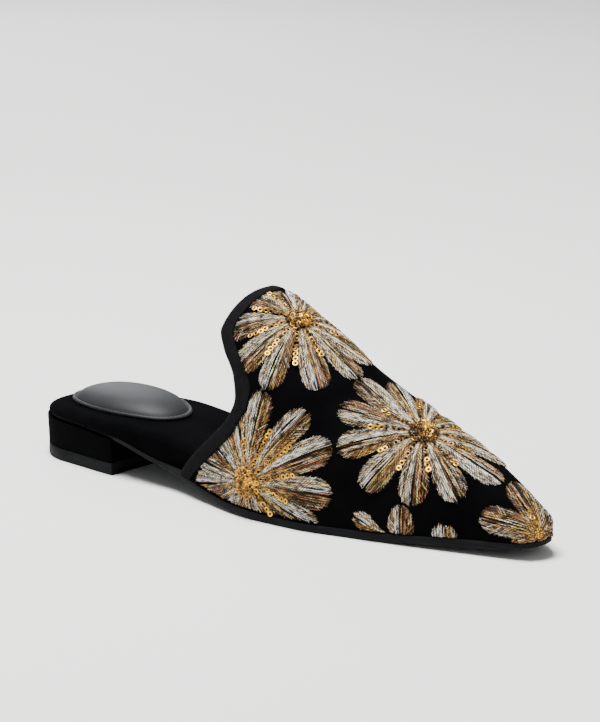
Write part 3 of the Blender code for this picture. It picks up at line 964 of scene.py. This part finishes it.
def petal_width(petals, u):
    """Half-width at u: the base share, then a quarter sine up to the full half-width."""
    first = petals["start"] - petals["hidden"]
    t = (u - first) / (petals["reach"] - first)
    swell = np.sin(0.5 * np.pi * np.clip(t / WIDEST, 0.0, 1.0)) ** 1.25
    return petals["half"] * (petals["base"] + (1.0 - petals["base"]) * swell), t


def crown_height(q):
    """Padding under the stitches: highest at the middle, down to the velvet at the edges."""
    return 0.18 + CROWN * (1.0 - np.minimum(np.abs(q), 1.0) ** 2.4)


def sew(chart, heading, start, end, path, samples):
    """Points of stitches whose (u, y) is path(u): each is cut where the velvet ends.

    A stitch is first tried at many samples, and kept over its first unbroken run on velvet.
    """
    tried = np.linspace(0.0, 1.0, CUT_SAMPLES)
    u = start + (end - start) * tried
    seen = read_chart(chart, *path(u), heading)[2]
    broken = (np.cumsum(seen, axis=-1) > 0) & ~seen
    whole = seen & (np.cumsum(broken, axis=-1) == 0)
    begin = np.argmax(whole, axis=-1)[..., None] / (CUT_SAMPLES - 1.0)
    length = np.clip((whole.sum(-1)[..., None] - 1.0) / (CUT_SAMPLES - 1.0), 0.0, 1.0)
    u = start + (end - start) * (begin + length * np.linspace(0.0, 1.0, samples))
    place = np.stack(path(u), axis=-1)
    x, share, _ = read_chart(chart, place[..., 0], place[..., 1], heading)
    long_enough = length[..., 0] * (end - start)[..., 0] > 0.9
    return x, share, place, long_enough


def raise_stitch(x, share, height):
    normal = last_normal(x, share)
    return last_point(x, share) + height[..., None] * normal, normal


def zone_place(petal, q):
    """Place across the colour zones; short of pale_from, a brown petal has only tan and rib."""
    place = q * petal["light"]
    brown = (np.abs(place) > 0.08) & (place < petal["pale_from"]) & (petal["pale_from"] > 0.0)
    return np.where(brown, -0.6, place)


def long_stitches(chart, petals, rng):
    """Lengthwise threads: each bundle keeps its share q of the width, so y = q * half-width(u).

    It ends on a rounded tip, reach - tip * half * (1 - sqrt(1 - q²)), with a notch at the rib.
    """
    count = len(petals["heading"])
    threads = BUNDLES * len(BUNDLE_OFFSETS)
    shape = (count, threads, 1)
    bundle = np.repeat(np.arange(BUNDLES), len(BUNDLE_OFFSETS))
    q = np.linspace(-0.95, 0.95, BUNDLES) + rng.normal(0.0, 0.018, (count, BUNDLES))
    q = np.clip(q[:, bundle, None], -0.97, 0.97)
    offset = np.tile(BUNDLE_OFFSETS, BUNDLES)[None, :, None] + rng.normal(0.0, 0.04, shape)
    petal = {name: np.broadcast_to(column[:, None, None], shape)
             for name, column in petals.items()}
    notch = 1.1 * np.exp(-((q - petal["rib"]) / 0.1) ** 2)
    end = petal["reach"] - petal["tip"] * petal["half"] * (1.0 - np.sqrt(1.0 - q**2)) - notch
    end = end + rng.normal(0.0, 0.42, shape) + rng.normal(0.0, 0.25, (count, BUNDLES, 1))[:, bundle]
    start = np.where(petal["hidden"] > 0.0, -4.0, petal["start"]) + rng.uniform(0.0, 1.2, shape)
    sway = rng.normal(0.0, 0.17, (count, BUNDLES, 1))[:, bundle]

    def path(u):
        width, t = petal_width(petal, u)
        parted = 0.16 * np.sign(q - petal["rib"]) * ease((t - 0.35) / 0.45)
        bunched = offset * (0.5 + 0.5 * width / petal["half"])
        return u, q * width + bunched + parted + sway * np.sin(np.pi * np.clip(t, 0.0, 1.0))

    samples = 12
    x, share, place, kept = sew(chart, petal["heading"], start, end, path, samples)
    t = np.clip(petal_width(petal, place[..., 0])[1], 0.0, 1.0)
    rise = ease(t / 0.14) * ease((1.02 - t) / 0.12)
    dip = 1.0 - 0.5 * np.exp(-((q - petal["rib"]) / 0.09) ** 2)
    height = 0.18 + dip * (crown_height(q) - 0.18) * (0.35 + 0.65 * rise)
    height = height + rng.uniform(-0.08, 0.12, shape) - 1.2 * np.abs(offset) ** 2
    centre, normal = raise_stitch(x, share, height)
    tail = np.linspace(0.0, 1.0, samples)
    taper = np.minimum(1.0, 0.25 + 6.0 * np.minimum(tail + 0.05, 1.0 - tail))
    width = THREAD_WIDTH * taper * rng.uniform(0.8, 1.15, shape)
    zone = np.broadcast_to(zone_place(petal, q), (count, threads, PATCHES))
    common = thread_shades(zone[:, ::len(BUNDLE_OFFSETS)], rng)[:, bundle]
    shared = rng.random((count, threads, PATCHES, 1)) < 0.68
    shades = np.where(shared, common, thread_shades(zone, rng))
    patch = t * (PATCHES - 1) + rng.uniform(-0.5, 0.5, (count, BUNDLES, 1))[:, bundle]
    patch = np.clip(np.round(patch), 0, PATCHES - 1).astype(int)
    tint = np.take_along_axis(shades, patch[..., None], axis=2)
    golden = (0.5 * np.exp(-((t / 0.3) ** 2)))[..., None]
    tint = tint * (1.0 - golden) + BASE_GOLD * golden
    return centre[kept], normal[kept], width[kept], tint[kept], place[kept]


def edge_stitches(chart, petals, rng):
    """Slanting barbs over the long threads, from inside the width to just past the edge.

    Every other barb is darker, which feathers a petal's sides.
    """
    shape = (len(petals["heading"]), 2 * BARBS_PER_SIDE, 1)
    petal = {name: np.broadcast_to(column[:, None, None], shape)
             for name, column in petals.items()}
    order = np.arange(2 * BARBS_PER_SIDE)[None, :, None]
    side = np.where(order % 2 == 0, 1.0, -1.0)
    first = petal["start"] - petal["hidden"]
    spread = 0.1 + 0.86 * order / order.max()
    start = first + spread * (petal["reach"] - first) + rng.uniform(-0.12, 0.12, shape)
    start = np.maximum(start, -4.0)
    run = rng.uniform(2.6, 4.4, shape)
    end = np.minimum(start + run, petal["reach"] - 0.1)
    inner = rng.uniform(0.4, 0.72, shape)
    beyond = rng.uniform(0.25, 0.75, shape)

    def across(u):
        width = petal_width(petal, u)[0]
        to_tip = (u - petal["reach"]) / (petal["tip"] * petal["half"]) + 1.0
        room = np.sqrt(np.clip(1.0 - np.clip(to_tip, 0.0, 1.0) ** 2, 0.0, 1.0))
        part = np.clip((u - start) / run, 0.0, 1.0)
        return width, room, inner + (1.0 - inner) * part, part

    def path(u):
        width, room, q, part = across(u)
        return u, side * room * (q * width + beyond * part**2)

    samples = 5
    x, share, place, kept = sew(chart, petal["heading"], start, end, path, samples)
    _, _, q, part = across(place[..., 0])
    dark = (order // 2) % 2 == 1
    height = crown_height(q) + 0.22 - 0.16 * part + rng.uniform(-0.1, 0.04, shape) - 0.06 * dark
    centre, normal = raise_stitch(x, share, height)
    width = 0.32 * (1.0 - 0.55 * part) * rng.uniform(0.8, 1.1, shape)
    tint = thread_shades(zone_place(petal, 0.75 * side)[..., 0], rng)[:, :, None]
    tint = np.broadcast_to(tint * np.where(dark, 0.3, 1.0)[..., None], centre.shape)
    return centre[kept], normal[kept], width[kept], tint[kept], place[kept]


def stitched_flower(name, x, share, petals, seed, start=START, base=BASE_SHARE, pale_from=0.0):
    """All stitches of one flower, in one mesh; returns its chart for the sequins."""
    rng = np.random.default_rng(seed)
    count = len(petals["reach"])
    petals = dict(petals, start=np.full(count, start), base=np.full(count, base),
                  pale_from=np.full(count, pale_from))
    chart = flower_chart(x, share)
    points, faces, tints, places, total = [], [], [], [], 0
    for stitches in (long_stitches, edge_stitches):
        centre, normal, width, tint, place = stitches(chart, petals, rng)
        corners, quads, first, last = tubes(centre, normal, width)
        points.append(corners.reshape(-1, 3))
        tints.append(np.repeat(tint[:, :, None], 3, axis=2).reshape(-1, 3))
        places.append(np.repeat(place[:, :, None], 3, axis=2).reshape(-1, 2))
        faces += [quads + total, first + total, last + total]
        total += corners.size // 3
    mesh_piece(f"flower_{name}_threads", np.concatenate(points), faces, RAYON,
               uv=np.concatenate(places), tint=np.concatenate(tints))
    return chart


# %% [markdown]
# ## Where the flowers are
# Five flowers and some part petals are spread over the upper: on the tongue, over the vamp's
# middle, on the toe and on either side. A table gives each petal: its heading in degrees, its
# reach and half-width in millimetres, the side on which its pale threads lie (1 is left,
# looking out from the middle), the rib's place across it, the length that runs on under the
# sole, and the length of its rounded tip in half-widths. Some petals are cut short by the
# binding or run under the sole, as the velvet was cut after it was embroidered.

# %% Flower tables
PETAL_COLUMNS = "heading reach half light rib hidden tip"
TONGUE_PETALS = table(PETAL_COLUMNS,
                      (-64, 35.7, 5.4, -1, 0.05, 0, 1.15), (-28, 37.6, 5.6, -1, -0.1, 0, 1.15),
                      (-1, 38.3, 4.9, -1, -0.05, 0, 1.15), (20, 35.6, 4.4, -1, 0.0, 0, 1.15),
                      (46, 36.0, 5.4, -1, 0.1, 0, 1.15), (76, 35.0, 5.6, -1, 0.0, 0, 1.15),
                      (104, 28.0, 5.4, -1, -0.1, 0, 0.8), (131, 22.2, 5.6, -1, 0.1, 0, 0.4),
                      (158, 20.2, 6.0, -1, 0.0, 0, 0.2), (-169, 30.0, 6.0, -1, 0.0, 0, 1.15),
                      (-128, 34.0, 6.2, -1, -0.1, 0, 1.15), (-92, 34.0, 6.0, -1, 0.1, 0, 1.15))
TONGUE_ROWS = table("heading reach",
                    (-110, 21.0), (-149, 21.0), (-78, 21.5), (-45, 23.4), (-15, 23.1),
                    (33, 22.0), (61, 21.0), (90, 22.0), (118, 20.0), (178, 20.0))
VAMP_PETALS = table(PETAL_COLUMNS,
                    (174, 38.7, 5.4, -1, 0.0, 0, 1.15), (-160, 36.2, 5.6, 1, -0.1, 0, 1.15),
                    (-132, 35.1, 5.8, -1, 0.1, 0, 1.15), (-98, 34.1, 6.0, -1, 0.0, 0, 1.15),
                    (-60, 32.7, 6.0, -1, -0.1, 0, 1.15), (-27, 35.7, 5.6, -1, 0.1, 0, 1.15),
                    (2, 39.5, 5.4, -1, 0.0, 0, 1.15), (30, 36.0, 5.2, -1, 0.1, 0, 1.15),
                    (60, 34.0, 5.6, -1, 0.0, 0, 1.15), (92, 31.0, 5.6, -1, -0.1, 0, 1.15),
                    (123, 32.0, 5.4, -1, 0.1, 0, 1.15), (151, 34.1, 5.0, -1, 0.0, 0, 1.15))
VAMP_ROWS = table("heading reach",
                  (-114, 20.5), (-80, 19.6), (-43, 20.0), (-12, 22.4), (-147, 21.1),
                  (-174, 20.4), (16, 20.0), (45, 21.0), (76, 19.0), (107, 20.0), (137, 20.0))
TOE_PETALS = table(PETAL_COLUMNS,
                   (119, 27.4, 6.6, -1, 0.1, 0, 1.3), (177, 25.4, 6.7, 1, 0.1, 0, 1.05),
                   (-128, 12.0, 5.4, 1, 0.0, 0, 1.15), (-84, 9.0, 4.6, -1, 0.0, 0, 1.15),
                   (-42, 5.5, 4.0, 1, 0.0, 0, 1.15), (0, 5.5, 4.0, -1, 0.0, 0, 1.15),
                   (40, 8.0, 4.4, 1, 0.0, 0, 1.15), (76, 14.0, 4.6, 1, 0.1, 0, 1.15))
TOE_ROWS = table("heading reach", (131, 9.4))
SIDE_PETALS = table(PETAL_COLUMNS,
                    (99, 37.3, 5.8, 1, 0.0, 0, 1.15), (65, 39.8, 5.8, 1, 0.1, 0, 1.15),
                    (39, 42.8, 6.4, 1, -0.1, 0, 1.15), (11, 41.3, 6.4, 1, 0.0, 0, 1.15),
                    (-11, 38.0, 5.0, 1, 0.0, 0, 1.15), (119, 27.5, 4.4, 1, 0.0, 0, 1.15),
                    (139, 24.0, 5.2, 1, 0.1, 0, 1.15), (160, 26.5, 5.8, -1, 0.0, 0, 1.15),
                    (-177, 31.0, 5.8, 1, -0.1, 0, 1.15), (-158, 34.0, 5.6, -1, 0.0, 0, 1.15),
                    (-132, 30.0, 5.8, 1, 0.0, 0, 1.15), (-105, 30.0, 6.0, -1, 0.0, 0, 1.15),
                    (-75, 30.0, 6.0, 1, 0.1, 0, 1.15), (-42, 32.0, 6.0, -1, 0.0, 0, 1.15))
SIDE_ROWS = table("heading reach",
                  (79, 24.0), (52, 26.4), (26, 24.4), (110, 18.5), (-2, 21.5), (-30, 18.0))
EDGE_PETALS = table(PETAL_COLUMNS,
                    (156, 11.4, 3.3, -1, 0.1, 6.0, 1.4), (90, 11.4, 5.8, 1, -0.1, 16.0, 1.9),
                    (92, 4.7, 5.2, 1, -0.2, 20.0, 0.9))


def mirrored(rows):
    """The same table on the other side of the ridge: headings and sides change sign."""
    turned = dict(rows)
    for column in ("heading", "light"):
        if column in turned:
            turned[column] = -turned[column]
    return turned


charts = {
    "tongue": stitched_flower("tongue", 136.9, 0.447, TONGUE_PETALS, 11),
    "vamp": stitched_flower("vamp", 206.2, 0.415, VAMP_PETALS, 12),
    "toe": stitched_flower("toe", 264.5, 0.212, TOE_PETALS, 13, TOE_START,
                           TOE_BASE_SHARE, pale_from=0.6),
    "outer": stitched_flower("outer", 141.1, 0.048, SIDE_PETALS, 14),
    "inner": stitched_flower("inner", 152.0, 0.945, mirrored(SIDE_PETALS), 15),
}

# %% Part petals along the sole
EDGE_ROOTS = table("x share row",
                   (202.4, 0.007, 0), (212.2, 0.003, 1), (230.0, 0.003, 2),
                   (205.0, 0.993, 0), (221.0, 0.997, 1), (238.0, 0.997, 2))
for index, (root_x, root_share, row) in enumerate(np.stack(list(EDGE_ROOTS.values()), axis=-1)):
    one = {name: column[int(row):int(row) + 1] for name, column in EDGE_PETALS.items()}
    one = mirrored(one) if root_share > 0.5 else one
    stitched_flower(f"edge_{index + 1}", root_x, root_share, one, 30 + index)

# %% [markdown]
# ## Sequins
# A ring sequin is a disc of gilt film 2.4 mm across, stamped with a hole and a slight cup.
# Rows of them are sewn between the petals, each held by a dark knot in its hole. The
# middle of a flower is a dome of sequins and dark beads, tilted every way, which is why it
# glitters. One function turns a profile round each place: a film ring and a bead differ only
# in their profile.


# %% Gilt film
def gilt_film():
    """Vacuum-gilt polyester: a metal to the eye. Tint holds gold, bronze or dark brown."""
    made, tree, shader = new_material("gilt_sequin_film", Metallic=1.0, Roughness=0.36)
    foil = add_node(tree, "ShaderNodeAttribute", attribute_name="tint")
    tree.links.new(foil.outputs["Color"], shader.inputs["Base Color"])
    relief(tree, shader, object_noise(tree, 0.9, 1.0), 0.05, 0.4)
    return made


GILT = gilt_film()
RING_SEGMENTS = 16
# Gilt is 1 on the film and 0 on the knot
FILM_PROFILE = table("radius height gilt",
                     (0.05, -0.1, 0.0), (1.16, -0.05, 1.0), (1.2, 0.08, 1.0), (0.86, 0.2, 1.0),
                     (0.56, 0.1, 1.0), (0.5, 0.02, 0.0), (0.05, 0.06, 0.0))
BEAD_PROFILE = table("radius height gilt",
                     (0.14, -0.4, 1.0), (0.45, -0.42, 1.0), (0.66, -0.1, 1.0), (0.6, 0.3, 1.0),
                     (0.36, 0.5, 1.0), (0.14, 0.42, 0.0))
ROW_START = 7.6
TOE_ROW_START = 5.0
ROW_PITCH = 2.3
GOLDEN_ANGLE = 137.508
GOLD = linear("#f2b93e")
AMBER = linear("#c48e3c")
BRONZE = linear("#86683f")
DARK = linear("#57463a")
KNOT = 0.03                # a knot's tone as a share of its sequin's


def turned_rings(profile, centre, normal, tilt, tint):
    """Profile turned round each centre; tilt is a sideways push of the normal, in tangents."""
    along = unit(np.cross(np.array([0.0, 1.0, 0.3]), normal))
    across = np.cross(normal, along)
    axis = unit(normal + tilt[:, :1] * along + tilt[:, 1:] * across)
    first = unit(along - dot(along, axis)[:, None] * axis)
    second = np.cross(axis, first)
    turn = 2.0 * np.pi * np.arange(RING_SEGMENTS) / RING_SEGMENTS
    spoke = (np.cos(turn)[None, :, None] * first[:, None]
             + np.sin(turn)[None, :, None] * second[:, None])
    points = (centre[:, None, None] + profile["radius"][None, :, None, None] * spoke[:, None]
              + profile["height"][None, :, None, None] * axis[:, None, None])
    rows = len(profile["radius"])
    one = grid_quads(rows, RING_SEGMENTS, close_rows=True, close_columns=True)
    starts = np.arange(len(centre))[:, None, None] * rows * RING_SEGMENTS
    gilt = (KNOT + (1.0 - KNOT) * profile["gilt"])[None, :, None, None]
    tints = np.broadcast_to(tint[:, None, None] * gilt, points.shape)
    return points.reshape(-1, 3), (one[None] + starts).reshape(-1, 4), tints.reshape(-1, 3)


def row_sequins(chart, rows, first, inward_shade, rng):
    """Even steps of ROW_PITCH out along each heading, lower towards the middle and darker there:
    painted shade where the rings sink among the threads.

    Shade 0 is gold, 1 amber, 2 bronze and 3 dark brown, with even mixes between them.
    """
    most = 9
    step = np.arange(most)[None, :]
    distance = first + ROW_PITCH * step + rng.normal(0.0, 0.12, (len(rows["reach"]), most))
    wanted = distance < rows["reach"][:, None] + 0.5
    sway = rng.normal(0.0, 0.18, distance.shape)
    x, share, seen = read_chart(chart, distance, sway, rows["heading"][:, None])
    to_end = np.clip((rows["reach"][:, None] - distance) / 9.0, 0.0, 1.0)
    height = 1.0 - (0.25 + 0.2 * inward_shade) * to_end + rng.uniform(-0.05, 0.15, distance.shape)
    centre, normal = raise_stitch(x, share, height)
    kept = wanted & seen
    inwards = to_end[kept][:, None]
    tilt = rng.normal(0.0, 0.12, (len(inwards), 2)) * (1.0 + 2.0 * inwards)
    # Painted shade: the rings are darker the further in they sit among the threads.
    shade = rng.uniform(-0.3, 0.5, len(inwards)) + 2.2 * inward_shade * inwards[:, 0]
    shade = np.minimum(shade, 2.4)
    tones = np.stack([GOLD, AMBER, BRONZE, DARK])
    tint = np.stack([np.interp(shade, np.arange(4.0), tones[:, k]) for k in range(3)], axis=-1)
    return turned_rings(FILM_PROFILE, centre[kept], normal[kept], tilt, tint)


def middle_places(chart, radius, count, rng):
    """Sunflower order: distance grows as the square root of the number, by golden angles."""
    number = np.arange(count)
    distance = radius * np.sqrt((number + 0.5) / count)
    x, share, seen = read_chart(chart, distance, np.zeros(count), GOLDEN_ANGLE * number)
    dome = radius * (0.17 + 0.22 * (1.0 - (distance / (radius + 0.6)) ** 2))
    centre, normal = raise_stitch(x, share, dome + rng.uniform(-0.2, 0.35, count))
    turn = np.radians(GOLDEN_ANGLE * number)
    flat = distance[:, None] * np.stack([np.cos(turn), np.sin(turn)], axis=-1)
    return centre[seen], normal[seen], flat[seen]


def sequined_flower(name, rows, radius, gold_heading, least_gold, seed, inward_shade,
                    first=ROW_START, shine=1.0, rings=34):
    """Rows and middle of one flower: a bright gold cluster on one side, brown elsewhere.

    The cluster is a bell curve of the distance from its own middle, half way out.
    """
    rng = np.random.default_rng(seed)
    chart = charts[name]
    parts = [row_sequins(chart, rows, first, inward_shade, rng)]
    filled = (radius / 5.3) ** 2
    turn = np.radians(gold_heading)
    cluster = 0.5 * radius * np.array([np.cos(turn), np.sin(turn)])
    for profile, count, bare in ((FILM_PROFILE, int(rings * filled), 1.0),
                                 (BEAD_PROFILE, int(64 * filled) + 12, 0.0)):
        centre, normal, flat = middle_places(chart, radius, count, rng)
        away = np.linalg.norm(flat - cluster, axis=1) / (0.45 * radius)
        bright = np.exp(-(away**2))[:, None]
        chance, mix = rng.random((2, len(flat), 1))
        level = least_gold + (1.0 - least_gold) * bright
        dull = AMBER + (BRONZE - AMBER) * mix
        gold = dull + (GOLD - dull) * shine * np.maximum(bright, mix > 0.85)
        brown = np.where(mix < 0.5, BRONZE, DARK)
        tint = np.where(chance < level, gold, brown)
        shown = (chance < level + 0.12)[:, 0] | (bare < 0.5)
        tilt = rng.normal(0.0, 0.34, (len(flat), 2))
        parts.append(turned_rings(profile, centre[shown], normal[shown], tilt[shown],
                                  tint[shown]))
    points, faces, tints, total = [], [], [], 0
    for part_points, part_faces, part_tints in parts:
        points.append(part_points)
        faces.append(part_faces + total)
        tints.append(part_tints)
        total += len(part_points)
    mesh_piece(f"flower_{name}_sequins", np.concatenate(points), faces, GILT,
               sharp=50.0, tint=np.concatenate(tints))


sequined_flower("tongue", TONGUE_ROWS, 5.4, 40.0, 0.4, 21, inward_shade=0.8)
sequined_flower("vamp", VAMP_ROWS, 6.0, 100.0, 0.1, 22, inward_shade=1.3)
sequined_flower("toe", TOE_ROWS, 2.3, 160.0, 0.7, 23, first=TOE_ROW_START, inward_shade=0.0,
                shine=0.25, rings=0)
sequined_flower("outer", SIDE_ROWS, 6.3, 20.0, 0.5, 24, inward_shade=0.5)
sequined_flower("inner", mirrored(SIDE_ROWS), 6.3, -20.0, 0.5, 25, inward_shade=0.5)

# %% [markdown]
# ## Camera, floor and light
# The camera keeps the photo's angle. Its distance and focal length were fitted to the shoe's
# outline: 2.43 pixels for each millimetre at the target, in a frame 600 by 722 pixels.

# %% Camera
FRAME_PIXELS = 722.0
CAMERA_AZIMUTH = 41.16
CAMERA_ELEVATION = 13.91
CAMERA_DISTANCE = 1400.0
PIXELS_PER_MM = 2.43
TARGET = np.array([138.17, 0.0, 58.91])
SENSOR = 36.0


def camera():
    azimuth, elevation = np.radians([CAMERA_AZIMUTH, CAMERA_ELEVATION])
    forward = np.array([-np.sin(azimuth) * np.cos(elevation),
                        np.cos(azimuth) * np.cos(elevation), -np.sin(elevation)])
    place = to_frame(TARGET - CAMERA_DISTANCE * forward)[0]
    lens = bpy.data.cameras.new("camera")
    lens.sensor_width = SENSOR
    lens.lens = PIXELS_PER_MM * CAMERA_DISTANCE * SENSOR / FRAME_PIXELS
    lens.clip_end = 20.0
    made = bpy.data.objects.new("camera", lens)
    made.location = place
    made.rotation_euler = (np.pi / 2.0 - elevation, 0.0, azimuth)
    bpy.context.scene.collection.objects.link(made)
    bpy.context.scene.camera = made
    print("lens", round(lens.lens, 1), "mm at", np.round(place, 3))


camera()


# %% Floor and light
def floor():
    made, tree, shader = new_material("painted_floor", Roughness=0.85, Specular_IOR_Level=0.2)
    tone = object_noise(tree, 400.0, 2.0)
    tree.links.new(two_tones(tree, tone, "#f4f3f0", "#f8f7f4", 0.3, 0.7),
                   shader.inputs["Base Color"])
    half = 5.0
    mesh = bpy.data.meshes.new("floor")
    corners = [(-half, -half, 0.0), (half, -half, 0.0), (half, half, 0.0), (-half, half, 0.0)]
    mesh.from_pydata(corners, [], [(0, 1, 2, 3)])
    mesh.materials.append(made)
    plane = bpy.data.objects.new("floor", mesh)
    bpy.context.scene.collection.objects.link(plane)


def area_light(name, place, target, size, watts, colour):
    """A square soft box that looks at its target."""
    light = bpy.data.lights.new(name, "AREA")
    light.size = size
    light.energy = watts
    light.color = linear(colour)
    made = bpy.data.objects.new(name, light)
    made.location = place
    direction = np.array(target) - np.array(place)
    flat = np.hypot(direction[0], direction[1])
    made.rotation_euler = (np.pi / 2.0 + np.arctan2(direction[2], flat), 0.0,
                           np.arctan2(direction[1], direction[0]) - np.pi / 2.0)
    bpy.context.scene.collection.objects.link(made)


def lights():
    centre = (0.0, 0.0, 0.04)
    area_light("key", (-0.2, -0.15, 1.5), centre, 0.8, 64.0, "#ffffff")
    area_light("side", (1.2, -0.2, 0.7), centre, 0.7, 1.5, "#fff8f0")
    area_light("back", (-1.2, 0.95, 0.6), centre, 0.5, 7.0, "#f8faff")
    world = bpy.data.worlds.new("studio")
    world.use_nodes = True
    world.node_tree.nodes["Background"].inputs["Color"].default_value = rgba("#dfe2e6")
    world.node_tree.nodes["Background"].inputs["Strength"].default_value = 0.42
    bpy.context.scene.world = world


floor()
lights()
